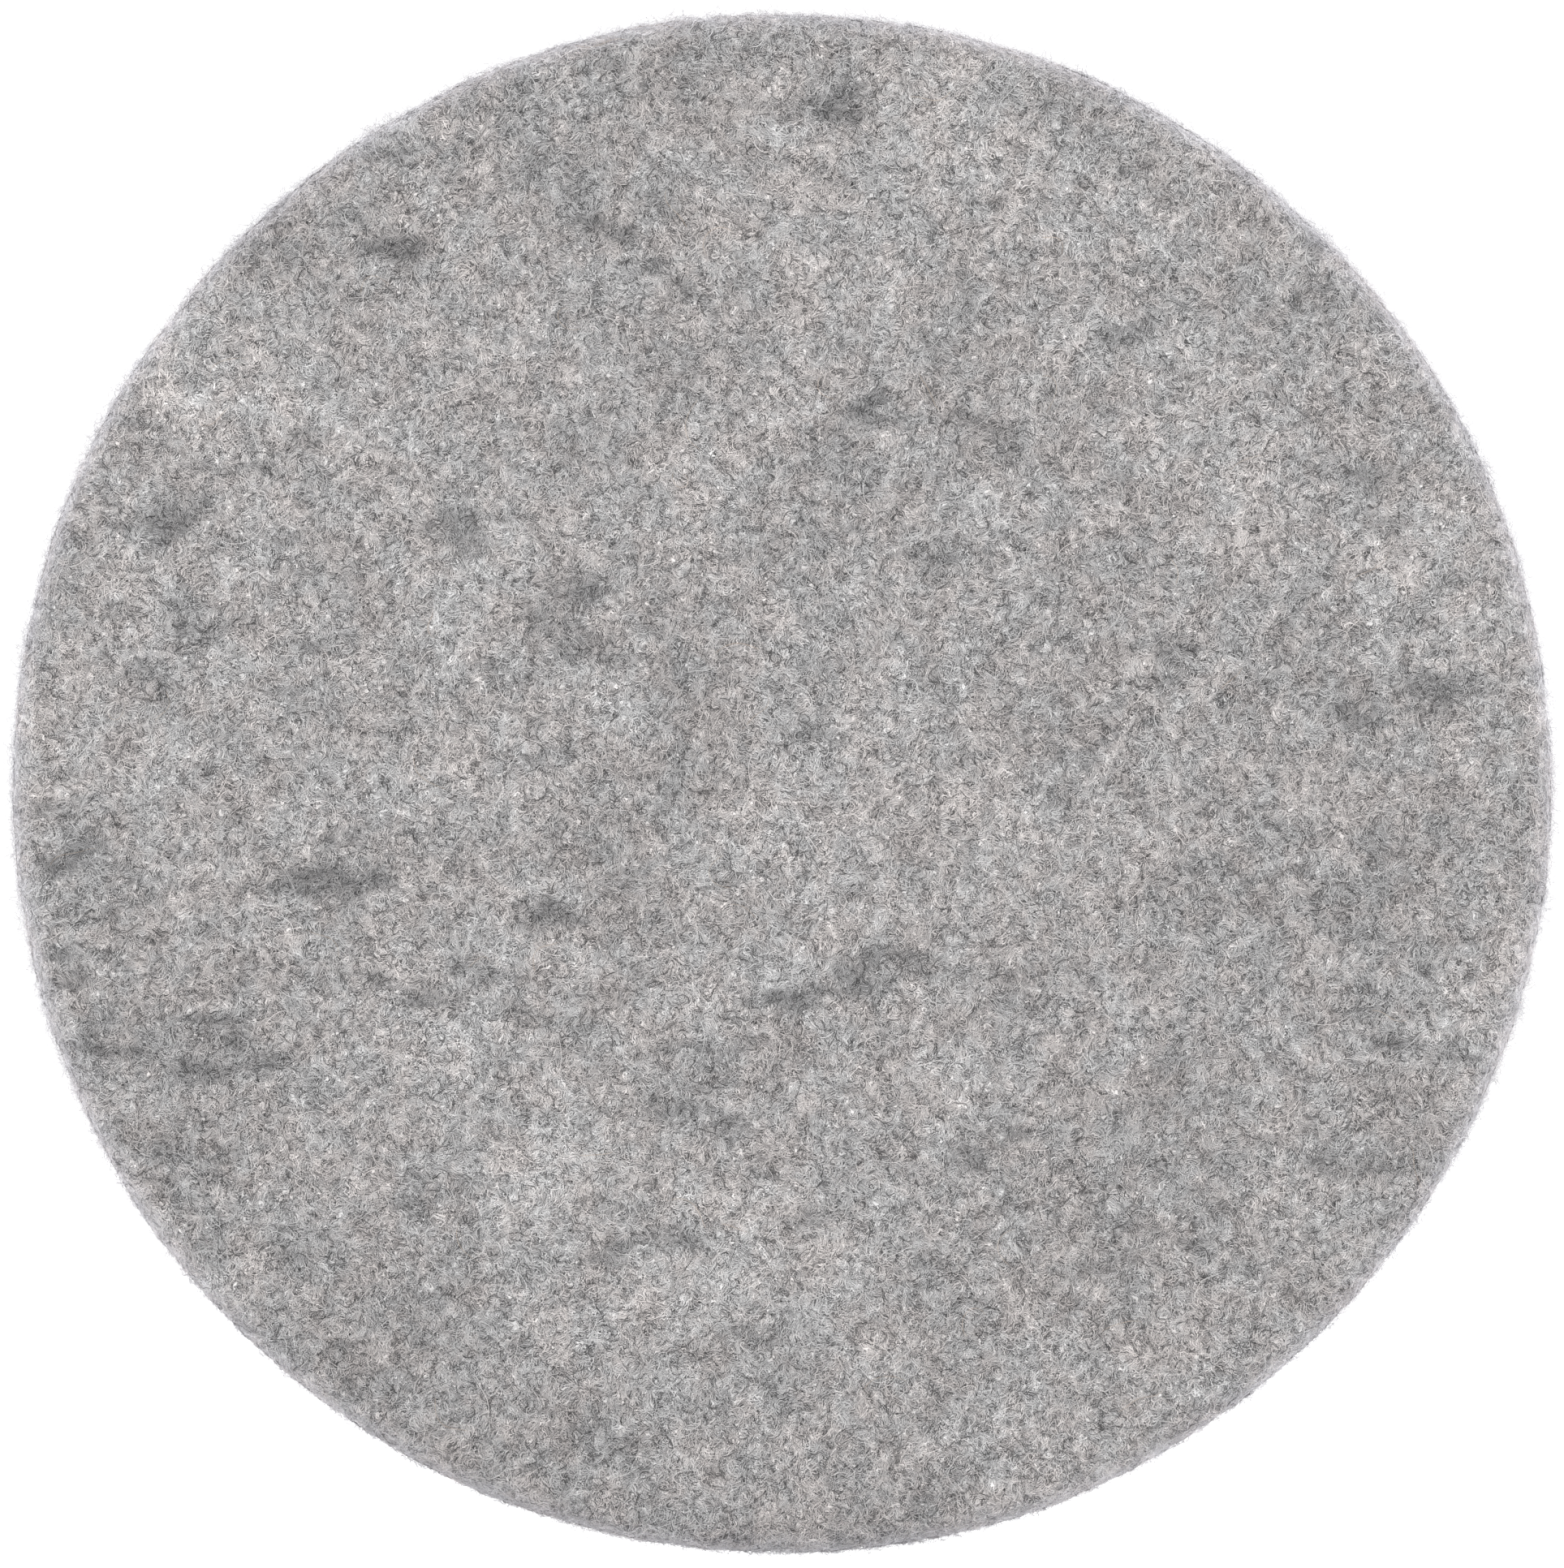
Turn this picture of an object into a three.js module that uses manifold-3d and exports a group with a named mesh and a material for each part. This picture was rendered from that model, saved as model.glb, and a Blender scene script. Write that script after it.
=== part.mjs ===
// An 8 inch felt polishing wheel for the end of a lapidary arbor.
//
// The wheel spins about Y. Its felt face looks along -Y, and its hub opens along +Y, where the arbor
// comes in. The origin is the centre of the bore's mouth, in the plane of the hub's rear end.
// From the back to the face it is a stack: hub, backing plate, tape, rubber cushion, tape, felt.
// Four countersunk screws with lock washers and nuts hold the hub to the plate, and two set screws at
// 90 degrees to each other lock the hub to the arbor.
//
// Millimetres, +Z up.

import * as THREE from "three";
import { mergeVertices } from "three/addons/utils/BufferGeometryUtils.js";
import Module from "manifold-3d";

const wasm = await Module();
wasm.setup();

// ---------------------------------------------------------------- driving dimensions

const WHEEL_DIAMETER = 203.2; // 8 in, the size of the felt
const FELT_THICKNESS = 10;
const FELT_FACE_ROUND = 4; // the soft edge that the work meets
const FELT_REAR_ROUND = 2.5;

const TAPE_THICKNESS = 0.4;
const TAPE_DIAMETER = 188;

const CUSHION_DIAMETER = 191;
const CUSHION_THICKNESS = 8;
const CUSHION_ROUND = 0.8;

const PLATE_DIAMETER = 190;
const PLATE_THICKNESS = 4;
const LIP_WIDTH = 5; // a stiffening lip round the back of the plate
const LIP_HEIGHT = 3;
const PLATE_CHAMFER = 0.6;

const FLANGE_DIAMETER = 66;
const FLANGE_THICKNESS = 6;
const BOSS_DIAMETER = 34;
const BOSS_LENGTH = 20;
const BOSS_FILLET = 3;
const HUB_CHAMFER = 1;
const ARBOR_DIAMETER = 15.875; // 5/8 in
const BORE_CLEARANCE = 0.025; // on the radius
const BORE_CHAMFER = 0.8;

const SCREW_COUNT = 4;
const SCREW_CIRCLE = 50; // the diameter through the screw centres
const SCREW_DIAMETER = 5; // M5 x 16, countersunk, with a 3 mm hexagon socket
const SCREW_LENGTH = 16;
const SCREW_HEAD_DIAMETER = 10;
const SCREW_HEAD_LAND = 0.3; // the head's thin cylindrical edge
const SCREW_TIP_CHAMFER = 0.6;
const SCREW_SOCKET_FLATS = 3;
const SCREW_SOCKET_DEPTH = 1.8;
const THROUGH_HOLE_DIAMETER = 5.5;
const HEAD_SEAT_DIAMETER = 10.9; // where the countersink meets the plate's front
const WASHER_DIAMETER = 9.2;
const WASHER_HOLE = 5.4;
const WASHER_THICKNESS = 1.2;
const WASHER_SPLIT = 0.9;
const NUT_FLATS = 8;
const NUT_THICKNESS = 4;
const NUT_HOLE = 5.24;
const NUT_CHAMFER = 0.5; // along the axis

const SET_SCREW_DIAMETER = 6; // M6 x 8, cup point, with a 3 mm hexagon socket
const SET_SCREW_LENGTH = 8;
const SET_SCREW_SOCKET_FLATS = 3;
const SET_SCREW_SOCKET_DEPTH = 3.5;
const SET_SCREW_CUP_RADIUS = 1.4; // the cup point's rim
const SET_SCREW_CUP_DEPTH = 0.6;
const SET_SCREW_CHAMFER = 0.5; // at the socket's end
const SET_SCREW_STATION = -BOSS_LENGTH / 2; // along the axis
const SET_SCREW_TIP_GAP = 0.26; // from the bore's wall to the screw's tip at rest
const THREAD_CLEARANCE = 0.15; // on the radius, between a thread and its hole

const DISC_SEGMENTS = 72;
const HUB_SEGMENTS = 48;
const FASTENER_SEGMENTS = 18;
const ARC_STEPS = 5;
const CUT_MARGIN = 1; // how far a cutting solid runs on past the face that it cuts

// ---------------------------------------------------------------- stations along the axis

const HUB_REAR = 0;
const FLANGE_REAR = HUB_REAR - BOSS_LENGTH;
const FLANGE_FRONT = FLANGE_REAR - FLANGE_THICKNESS;
const PLATE_FRONT = FLANGE_FRONT - PLATE_THICKNESS;
const CUSHION_REAR = PLATE_FRONT - TAPE_THICKNESS;
const CUSHION_FRONT = CUSHION_REAR - CUSHION_THICKNESS;
const FELT_REAR = CUSHION_FRONT - TAPE_THICKNESS;
const FELT_FRONT = FELT_REAR - FELT_THICKNESS;

// ---------------------------------------------------------------- helpers

// A closed three.js geometry as a manifold-3d solid.
function solid(geometry) {
  const bare = geometry.clone();
  bare.deleteAttribute("normal");
  bare.deleteAttribute("uv");
  const merged = mergeVertices(bare, 1e-4);
  const mesh = new wasm.Mesh({
    numProp: 3,
    vertProperties: merged.attributes.position.array,
    triVerts: new Uint32Array(merged.index.array),
  });
  return new wasm.Manifold(mesh);
}

// A manifold-3d solid as a flat-shaded three.js geometry.
function geometryOf(manifold) {
  const { vertProperties, triVerts } = manifold.getMesh();
  const geometry = new THREE.BufferGeometry();
  geometry.setAttribute("position", new THREE.BufferAttribute(new Float32Array(vertProperties), 3));
  geometry.setIndex(new THREE.BufferAttribute(new Uint32Array(triVerts), 1));
  geometry.computeVertexNormals();
  return geometry;
}

// A profile of [radius, y] points turned about Y. It runs from the front (low y) to the rear (high y)
// on its outside.
function turned(profile, segments) {
  const points = profile.map(([radius, y]) => new THREE.Vector2(radius, y));
  return new THREE.LatheGeometry(points, segments);
}

// Points on an arc about a centre, from one angle to another, in degrees. Angle 0 points outwards
// along the radius, and 90 points to the rear, along +Y.
function arc(centreRadius, centreY, radius, fromDegrees, toDegrees, steps = ARC_STEPS) {
  return Array.from({ length: steps + 1 }, (_, i) => {
    const angle = THREE.MathUtils.degToRad(fromDegrees + ((toDegrees - fromDegrees) * i) / steps);
    return [centreRadius + radius * Math.cos(angle), centreY + radius * Math.sin(angle)];
  });
}

// A disc whose front and rear edges are rounded.
function roundedDisc(diameter, front, rear, frontRound, rearRound) {
  const r = diameter / 2;
  return turned(
    [
      [0, front],
      ...arc(r - frontRound, front + frontRound, frontRound, -90, 0),
      ...arc(r - rearRound, rear - rearRound, rearRound, 0, 90),
      [0, rear],
    ],
    DISC_SEGMENTS,
  );
}

// A plain cylinder on the Y axis.
function rod(diameter, front, rear, segments = FASTENER_SEGMENTS) {
  const r = diameter / 2;
  return turned([[0, front], [r, front], [r, rear], [0, rear]], segments);
}

// A hexagonal prism on the Y axis, measured across its flats.
function hexagon(flats, front, rear) {
  const corner = flats / 2 / Math.cos(Math.PI / 6);
  return rod(2 * corner, front, rear, 6);
}

function moved(geometry, x, y, z) {
  return geometry.clone().translate(x, y, z);
}

// The screws' places on their circle, half a step round from the set screws.
const screwPlaces = Array.from({ length: SCREW_COUNT }, (_, i) => {
  const angle = ((i + 0.5) * 2 * Math.PI) / SCREW_COUNT;
  return { x: (SCREW_CIRCLE / 2) * Math.cos(angle), z: (SCREW_CIRCLE / 2) * Math.sin(angle) };
});

// A set screw's own axis is Y, its tip towards -Y. These turns lay it along +Z and along +X.
const setScrewTurns = [
  { name: "set_screw_top", rotation: new THREE.Euler(Math.PI / 2, 0, 0) },
  { name: "set_screw_side", rotation: new THREE.Euler(0, 0, -Math.PI / 2) },
];

// ---------------------------------------------------------------- materials

const materials = {
  felt: new THREE.MeshStandardMaterial({ color: 0xa6a4a3, roughness: 1, metalness: 0 }),
  tape: new THREE.MeshStandardMaterial({ color: 0xd9c9a3, roughness: 0.45, metalness: 0 }),
  rubber: new THREE.MeshStandardMaterial({ color: 0x1d1d1f, roughness: 0.85, metalness: 0 }),
  aluminium: new THREE.MeshStandardMaterial({ color: 0xc4c6c8, roughness: 0.38, metalness: 1 }),
  steel: new THREE.MeshStandardMaterial({ color: 0x9b9c9e, roughness: 0.32, metalness: 1 }),
  zinc: new THREE.MeshStandardMaterial({ color: 0xb9bcc0, roughness: 0.28, metalness: 1 }),
  blackOxide: new THREE.MeshStandardMaterial({ color: 0x26262a, roughness: 0.5, metalness: 0.7 }),
};

// ---------------------------------------------------------------- sub-parts

function feltGeometry() {
  return roundedDisc(WHEEL_DIAMETER, FELT_FRONT, FELT_REAR, FELT_FACE_ROUND, FELT_REAR_ROUND);
}

function tapeGeometry(front) {
  return rod(TAPE_DIAMETER, front, front + TAPE_THICKNESS, DISC_SEGMENTS);
}

function cushionGeometry() {
  return roundedDisc(CUSHION_DIAMETER, CUSHION_FRONT, CUSHION_REAR, CUSHION_ROUND, CUSHION_ROUND);
}

// A 90 degree cone that cuts a countersink of this diameter into a face at front, from the -Y side.
function countersink(diameter, front) {
  const r = diameter / 2;
  return turned(
    [[0, front - CUT_MARGIN], [r + CUT_MARGIN, front - CUT_MARGIN], [0, front + r]],
    FASTENER_SEGMENTS,
  );
}

function backingPlateGeometry() {
  const r = PLATE_DIAMETER / 2;
  const lipRear = FLANGE_FRONT + LIP_HEIGHT;
  const lipInner = r - LIP_WIDTH;
  let plate = solid(
    turned(
      [
        [0, PLATE_FRONT],
        [r - PLATE_CHAMFER, PLATE_FRONT],
        [r, PLATE_FRONT + PLATE_CHAMFER],
        [r, lipRear - PLATE_CHAMFER],
        [r - PLATE_CHAMFER, lipRear],
        [lipInner, lipRear],
        ...arc(lipInner - LIP_HEIGHT, lipRear, LIP_HEIGHT, 0, -90),
        [0, FLANGE_FRONT],
      ],
      DISC_SEGMENTS,
    ),
  );
  for (const { x, z } of screwPlaces) {
    const hole = rod(THROUGH_HOLE_DIAMETER, PLATE_FRONT - CUT_MARGIN, FLANGE_FRONT + CUT_MARGIN);
    const seat = countersink(HEAD_SEAT_DIAMETER, PLATE_FRONT);
    plate = plate.subtract(solid(moved(hole, x, 0, z))).subtract(solid(moved(seat, x, 0, z)));
  }
  return geometryOf(plate);
}

function hubGeometry() {
  const bore = ARBOR_DIAMETER / 2 + BORE_CLEARANCE;
  const boss = BOSS_DIAMETER / 2;
  const flange = FLANGE_DIAMETER / 2;
  let hub = solid(
    turned(
      [
        [bore, FLANGE_FRONT],
        [flange - HUB_CHAMFER, FLANGE_FRONT],
        [flange, FLANGE_FRONT + HUB_CHAMFER],
        [flange, FLANGE_REAR - HUB_CHAMFER],
        [flange - HUB_CHAMFER, FLANGE_REAR],
        ...arc(boss + BOSS_FILLET, FLANGE_REAR + BOSS_FILLET, BOSS_FILLET, 270, 180),
        [boss, HUB_REAR - HUB_CHAMFER],
        [boss - HUB_CHAMFER, HUB_REAR],
        [bore + BORE_CHAMFER, HUB_REAR],
        [bore, HUB_REAR - BORE_CHAMFER],
        [bore, FLANGE_FRONT],
      ],
      HUB_SEGMENTS,
    ),
  );
  for (const { x, z } of screwPlaces) {
    const hole = rod(THROUGH_HOLE_DIAMETER, FLANGE_FRONT - CUT_MARGIN, FLANGE_REAR + CUT_MARGIN);
    hub = hub.subtract(solid(moved(hole, x, 0, z)));
  }
  for (const { rotation } of setScrewTurns) {
    const tapped = rod(SET_SCREW_DIAMETER + 2 * THREAD_CLEARANCE, bore / 2, boss + CUT_MARGIN);
    tapped.applyMatrix4(new THREE.Matrix4().makeRotationFromEuler(rotation));
    hub = hub.subtract(solid(moved(tapped, 0, SET_SCREW_STATION, 0)));
  }
  return geometryOf(hub);
}

// Head towards -Y, flush with the plate's front. Its origin is the middle of the head's flat face.
function flangeScrewGeometry() {
  const r = SCREW_DIAMETER / 2;
  const head = SCREW_HEAD_DIAMETER / 2;
  const body = turned(
    [
      [0, 0],
      [head, 0],
      [head, SCREW_HEAD_LAND],
      [r, SCREW_HEAD_LAND + head - r],
      [r, SCREW_LENGTH - SCREW_TIP_CHAMFER],
      [r - SCREW_TIP_CHAMFER, SCREW_LENGTH],
      [0, SCREW_LENGTH],
    ],
    FASTENER_SEGMENTS,
  );
  const socket = hexagon(SCREW_SOCKET_FLATS, -CUT_MARGIN, SCREW_SOCKET_DEPTH);
  return geometryOf(solid(body).subtract(solid(socket)));
}

// A split spring washer. Its origin is the middle of its front face.
function lockWasherGeometry() {
  const inner = WASHER_HOLE / 2;
  const outer = WASHER_DIAMETER / 2;
  const ring = turned(
    [[inner, 0], [outer, 0], [outer, WASHER_THICKNESS], [inner, WASHER_THICKNESS], [inner, 0]],
    FASTENER_SEGMENTS,
  );
  const split = new THREE.BoxGeometry(outer, 2 * WASHER_THICKNESS, WASHER_SPLIT);
  return geometryOf(solid(ring).subtract(solid(moved(split, outer, WASHER_THICKNESS / 2, 0))));
}

// A hexagon nut with its corners turned off. Its origin is the middle of its front face.
function nutGeometry() {
  const flat = NUT_FLATS / 2;
  const past = flat + 2 * NUT_CHAMFER; // outside the corners, so that only the chamfers cut them
  const cone = turned(
    [
      [0, 0],
      [flat, 0],
      [past, NUT_CHAMFER],
      [past, NUT_THICKNESS - NUT_CHAMFER],
      [flat, NUT_THICKNESS],
      [0, NUT_THICKNESS],
    ],
    FASTENER_SEGMENTS,
  );
  const blank = solid(hexagon(NUT_FLATS, 0, NUT_THICKNESS)).intersect(solid(cone));
  const hole = rod(NUT_HOLE, -CUT_MARGIN, NUT_THICKNESS + CUT_MARGIN);
  return geometryOf(blank.subtract(solid(hole)));
}

// Its own axis is Y and its cup point is at y = 0.
function setScrewGeometry() {
  const r = SET_SCREW_DIAMETER / 2;
  const body = turned(
    [
      [0, SET_SCREW_CUP_DEPTH],
      [SET_SCREW_CUP_RADIUS, 0],
      [r, r - SET_SCREW_CUP_RADIUS],
      [r, SET_SCREW_LENGTH - SET_SCREW_CHAMFER],
      [r - SET_SCREW_CHAMFER, SET_SCREW_LENGTH],
      [0, SET_SCREW_LENGTH],
    ],
    FASTENER_SEGMENTS,
  );
  const socketFloor = SET_SCREW_LENGTH - SET_SCREW_SOCKET_DEPTH;
  const socket = hexagon(SET_SCREW_SOCKET_FLATS, socketFloor, SET_SCREW_LENGTH + CUT_MARGIN);
  return geometryOf(solid(body).subtract(solid(socket)));
}

// ---------------------------------------------------------------- assembly

const wheel = new THREE.Group();
wheel.name = "felt_polishing_wheel";

function addPart(name, geometry, material, parent = wheel) {
  const mesh = new THREE.Mesh(geometry, material);
  mesh.name = name;
  parent.add(mesh);
  return mesh;
}

addPart("felt_pad", feltGeometry(), materials.felt);
addPart("felt_tape", tapeGeometry(FELT_REAR), materials.tape);
addPart("cushion", cushionGeometry(), materials.rubber);
addPart("cushion_tape", tapeGeometry(CUSHION_REAR), materials.tape);
addPart("backing_plate", backingPlateGeometry(), materials.aluminium);
addPart("hub", hubGeometry(), materials.steel);

screwPlaces.forEach(({ x, z }, i) => {
  const station = new THREE.Group();
  station.position.set(x, 0, z);
  wheel.add(station);
  const screw = addPart(`flange_screw_${i + 1}`, flangeScrewGeometry(), materials.zinc, station);
  const washer = addPart(`lock_washer_${i + 1}`, lockWasherGeometry(), materials.zinc, station);
  const nut = addPart(`flange_nut_${i + 1}`, nutGeometry(), materials.zinc, station);
  screw.position.y = PLATE_FRONT;
  washer.position.y = FLANGE_REAR;
  nut.position.y = FLANGE_REAR + WASHER_THICKNESS;
});

for (const { name, rotation } of setScrewTurns) {
  const station = new THREE.Group();
  station.position.y = SET_SCREW_STATION;
  station.rotation.copy(rotation);
  wheel.add(station);
  const screw = addPart(name, setScrewGeometry(), materials.blackOxide, station);
  screw.position.y = ARBOR_DIAMETER / 2 + BORE_CLEARANCE + SET_SCREW_TIP_GAP;
}

export default wheel;
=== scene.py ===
# %% [markdown]
# # A felt polishing wheel
#
# This wheel puts the last shine on a cut stone. It is a stack that screws on to a lapidary arbor: a hub
# and a turned backing plate, a sheet of sponge rubber, and a thick pad of grey wool felt at the front.
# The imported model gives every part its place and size, so this lesson only makes the parts look and feel
# like what they are. The wheel spins about Y, its felt looks along -Y and the hub opens along +Y.

# %% Load the fixed frame
import math

import bmesh
import bpy
import numpy as np
from mathutils import Matrix, Vector


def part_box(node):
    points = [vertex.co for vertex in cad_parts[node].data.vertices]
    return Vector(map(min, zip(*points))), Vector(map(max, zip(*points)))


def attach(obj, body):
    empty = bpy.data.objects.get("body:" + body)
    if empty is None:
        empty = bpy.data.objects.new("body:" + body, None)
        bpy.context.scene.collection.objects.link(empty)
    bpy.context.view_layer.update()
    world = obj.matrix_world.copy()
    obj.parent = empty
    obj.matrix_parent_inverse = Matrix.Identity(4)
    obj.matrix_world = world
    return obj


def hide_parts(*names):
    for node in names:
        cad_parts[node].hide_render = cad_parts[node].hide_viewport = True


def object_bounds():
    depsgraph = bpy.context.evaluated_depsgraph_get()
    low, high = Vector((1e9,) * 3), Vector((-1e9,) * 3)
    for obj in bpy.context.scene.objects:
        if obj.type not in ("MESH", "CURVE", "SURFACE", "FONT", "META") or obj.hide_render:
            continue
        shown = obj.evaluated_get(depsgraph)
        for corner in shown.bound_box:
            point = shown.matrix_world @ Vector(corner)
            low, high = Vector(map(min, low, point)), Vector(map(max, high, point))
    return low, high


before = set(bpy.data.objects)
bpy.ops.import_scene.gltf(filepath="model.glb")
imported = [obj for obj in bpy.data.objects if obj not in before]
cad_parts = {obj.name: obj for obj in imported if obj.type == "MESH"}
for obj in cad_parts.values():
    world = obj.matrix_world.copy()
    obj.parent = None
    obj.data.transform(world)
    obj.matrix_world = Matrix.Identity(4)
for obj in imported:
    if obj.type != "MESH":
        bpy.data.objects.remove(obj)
MM = 0.001
cad_low, cad_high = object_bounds()
print("CAD box, mm:", [round(v / MM, 1) for v in (*cad_low, *cad_high)])

# %% [markdown]
# ## Camera
#
# A round face seen squarely shows no depth, so a long lens from straight ahead is the natural choice: it
# keeps the rim a true circle. The lens follows from the wheel's radius, the distance and a thin margin.

# %% Camera
FRAME_MARGIN = 1.0168  # half the view's height over the wheel's radius
CAMERA_DISTANCE = 1.2
felt_low, felt_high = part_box("felt_pad")
wheel_radius = (felt_high.x - felt_low.x) / 2

camera_data = bpy.data.cameras.new("camera")
camera_data.sensor_width = 36.0
camera_data.lens = camera_data.sensor_width / 2 * CAMERA_DISTANCE / (wheel_radius * FRAME_MARGIN)
camera = bpy.data.objects.new("camera", camera_data)
camera.location = (0, felt_low.y - CAMERA_DISTANCE, 0)
camera.rotation_euler = (math.radians(90), 0, 0)
scene = bpy.context.scene
scene.collection.objects.link(camera)
scene.camera = camera
scene.view_settings.view_transform = "Standard"
print("lens, mm:", round(camera_data.lens, 1), "wheel radius, mm:", round(wheel_radius / MM, 2))

# %% [markdown]
# ## Helpers for shader nodes
#
# A procedural material is a small graph. Three short helpers keep it readable: one adds a node and plugs
# its inputs, one does a sum, and one opens a node group with named inputs and outputs. A group is built
# once and placed in many materials, each with its own values.


# %% Helpers for shader nodes
def add(tree, kind, inputs=None, **settings):
    """Adds a shader node. An input's value is a number, a colour or another node's output."""
    made = tree.nodes.new("ShaderNode" + kind)
    for key, value in settings.items():
        setattr(made, key, value)
    for key, value in (inputs or {}).items():
        if isinstance(value, bpy.types.NodeSocket):
            tree.links.new(value, made.inputs[key])
        else:
            made.inputs[key].default_value = value
    return made


def sum_of(tree, operation, first, second=0.0, third=0.0):
    """The output of a Math node."""
    values = {0: first, 1: second, 2: third}
    return add(tree, "Math", values, operation=operation).outputs[0]


def vector_of(tree, operation, first, second=(0.0, 0.0, 0.0)):
    """The vector output of a Vector Math node."""
    return add(tree, "VectorMath", {0: first, 1: second}, operation=operation).outputs[0]


def ramp(tree, value, low, high, to_low=0.0, to_high=1.0):
    """Maps value from low..high to to_low..to_high with soft ends."""
    inputs = {"Value": value, 1: low, 2: high, 3: to_low, 4: to_high}
    return add(tree, "MapRange", inputs, interpolation_type="SMOOTHSTEP").outputs[0]


def mix(tree, factor, first, second):
    """The colour output of a Mix node."""
    made = add(tree, "Mix", data_type="RGBA")
    for index, value in ((0, factor), (6, first), (7, second)):
        if isinstance(value, bpy.types.NodeSocket):
            tree.links.new(value, made.inputs[index])
        else:
            made.inputs[index].default_value = value
    return made.outputs[2]


SOCKETS = {"number": "NodeSocketFloat", "vector": "NodeSocketVector"}


def new_group(name, inputs, outputs):
    """Opens a node group. Returns its tree, the sockets that come in and the node to plug results into."""
    tree = bpy.data.node_groups.new(name, "ShaderNodeTree")
    for label, kind, value in inputs:
        socket = tree.interface.new_socket(name=label, in_out="INPUT", socket_type=SOCKETS[kind])
        if value is not None:
            socket.default_value = value
    for label, kind in outputs:
        tree.interface.new_socket(name=label, in_out="OUTPUT", socket_type=SOCKETS[kind])
    start = tree.nodes.new("NodeGroupInput")
    end = tree.nodes.new("NodeGroupOutput")
    return tree, start.outputs, end


def place(tree, group, inputs):
    """Puts a node group into a material or another group and returns its outputs."""
    made = tree.nodes.new("ShaderNodeGroup")
    made.node_tree = group
    for key, value in inputs.items():
        if isinstance(value, bpy.types.NodeSocket):
            tree.links.new(value, made.inputs[key])
        else:
            made.inputs[key].default_value = value
    return made.outputs


def tint(red, green, blue):
    """A colour from sRGB levels between 0 and 255, as the renderer's linear numbers."""
    return tuple((level / 255) ** 2.2 for level in (red, green, blue)) + (1.0,)


# %% [markdown]
# ## Wool felt: its pattern
#
# Felt is wool fibres matted together, neither woven nor stitched. Up close it is thousands of fine strands
# in small bundles that lie every way over dark gaps. Real fibres alone would take millions of faces, so the
# deep ones are drawn in the material. Waving stripes draw a bundle of strands, each with its own brightness,
# and Voronoi cells give each bundle its own direction and bow. One use of this group is one storey of
# fibres, and three storeys of different sizes make a mat. It works in the flat plane of the unrolled skin,
# so it needs only two dimensions, which renders faster and wraps round the pad's edge.

# %% Strand bundles
bundles, given, out = new_group(
    "Strand bundles",
    [
        ("Skin", "vector", None),
        ("Bundles per metre", "number", 800.0),
        ("Strands per bundle", "number", 5.0),
        ("Bow", "number", 0.8),
        ("Wander", "number", 0.5),
        ("Thickness", "number", 0.45),
        ("Seed", "number", 0.0),
    ],
    [("Strand", "number"), ("Tone", "number")],
)
scaled = vector_of(bundles, "SCALE", given["Skin"])
bundles.links.new(given["Bundles per metre"], scaled.node.inputs["Scale"])
seed_place = add(bundles, "CombineXYZ", {"X": given["Seed"], "Y": given["Seed"]}).outputs[0]
shifted = vector_of(bundles, "ADD", scaled, seed_place)
wander = add(bundles, "TexNoise", {"Vector": shifted, "Scale": 1.3, "Detail": 1.0}, noise_dimensions="2D")
centred = vector_of(bundles, "SUBTRACT", wander.outputs["Color"], (0.5, 0.5, 0.5))
moved = vector_of(bundles, "SCALE", centred)
bundles.links.new(given["Wander"], moved.node.inputs["Scale"])
warped = vector_of(bundles, "ADD", shifted, moved)

# %% Strand bundles: one cell for each bundle
cells = add(bundles, "TexVoronoi", {"Vector": warped, "Scale": 1.0}, voronoi_dimensions="2D")
chance = add(bundles, "SeparateColor", {"Color": cells.outputs["Color"]})
local = vector_of(bundles, "SUBTRACT", warped, cells.outputs["Position"])
angle = sum_of(bundles, "MULTIPLY", chance.outputs[0], 2 * math.pi)
turned = add(bundles, "VectorRotate", {"Vector": local, "Angle": angle}, rotation_type="Z_AXIS")
parts = add(bundles, "SeparateXYZ", {0: turned.outputs[0]})
bow = sum_of(bundles, "MULTIPLY", sum_of(bundles, "SUBTRACT", chance.outputs[1], 0.3), given["Bow"])
sag = sum_of(bundles, "MULTIPLY", sum_of(bundles, "MULTIPLY", parts.outputs[0], parts.outputs[0]), bow)
across = sum_of(bundles, "ADD", parts.outputs[1], sag)
across = sum_of(bundles, "MULTIPLY", across, given["Strands per bundle"])

# %% Strand bundles: the strands in a bundle
jump = sum_of(bundles, "MULTIPLY", chance.outputs[2], 37.0)
streak_x = sum_of(bundles, "MULTIPLY_ADD", parts.outputs[0], 3.5, jump)
streak_at = add(bundles, "CombineXYZ", {"X": streak_x, "Y": across})
weave = add(
    bundles,
    "TexNoise",
    {"Vector": streak_at.outputs[0], "Scale": 0.45, "Detail": 1.0, "Roughness": 0.5},
    noise_dimensions="2D",
)
phase = sum_of(bundles, "MULTIPLY_ADD", weave.outputs["Fac"], 1.5, across)
off_line = sum_of(bundles, "ABSOLUTE", sum_of(bundles, "SUBTRACT", sum_of(bundles, "FRACT", phase), 0.5))
strand_number = sum_of(bundles, "ADD", sum_of(bundles, "FLOOR", phase), jump)
own = add(bundles, "TexWhiteNoise", {"W": strand_number}, noise_dimensions="1D").outputs["Value"]
own_light = ramp(bundles, own, 0.05, 0.60, 0.30, 1.0)
ridge = ramp(bundles, off_line, given["Thickness"], 0.0)
bundles.links.new(sum_of(bundles, "MULTIPLY", ridge, own_light), out.inputs["Strand"])
bundles.links.new(chance.outputs[1], out.inputs["Tone"])
print("strand bundles, nodes:", len(bundles.nodes))

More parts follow.
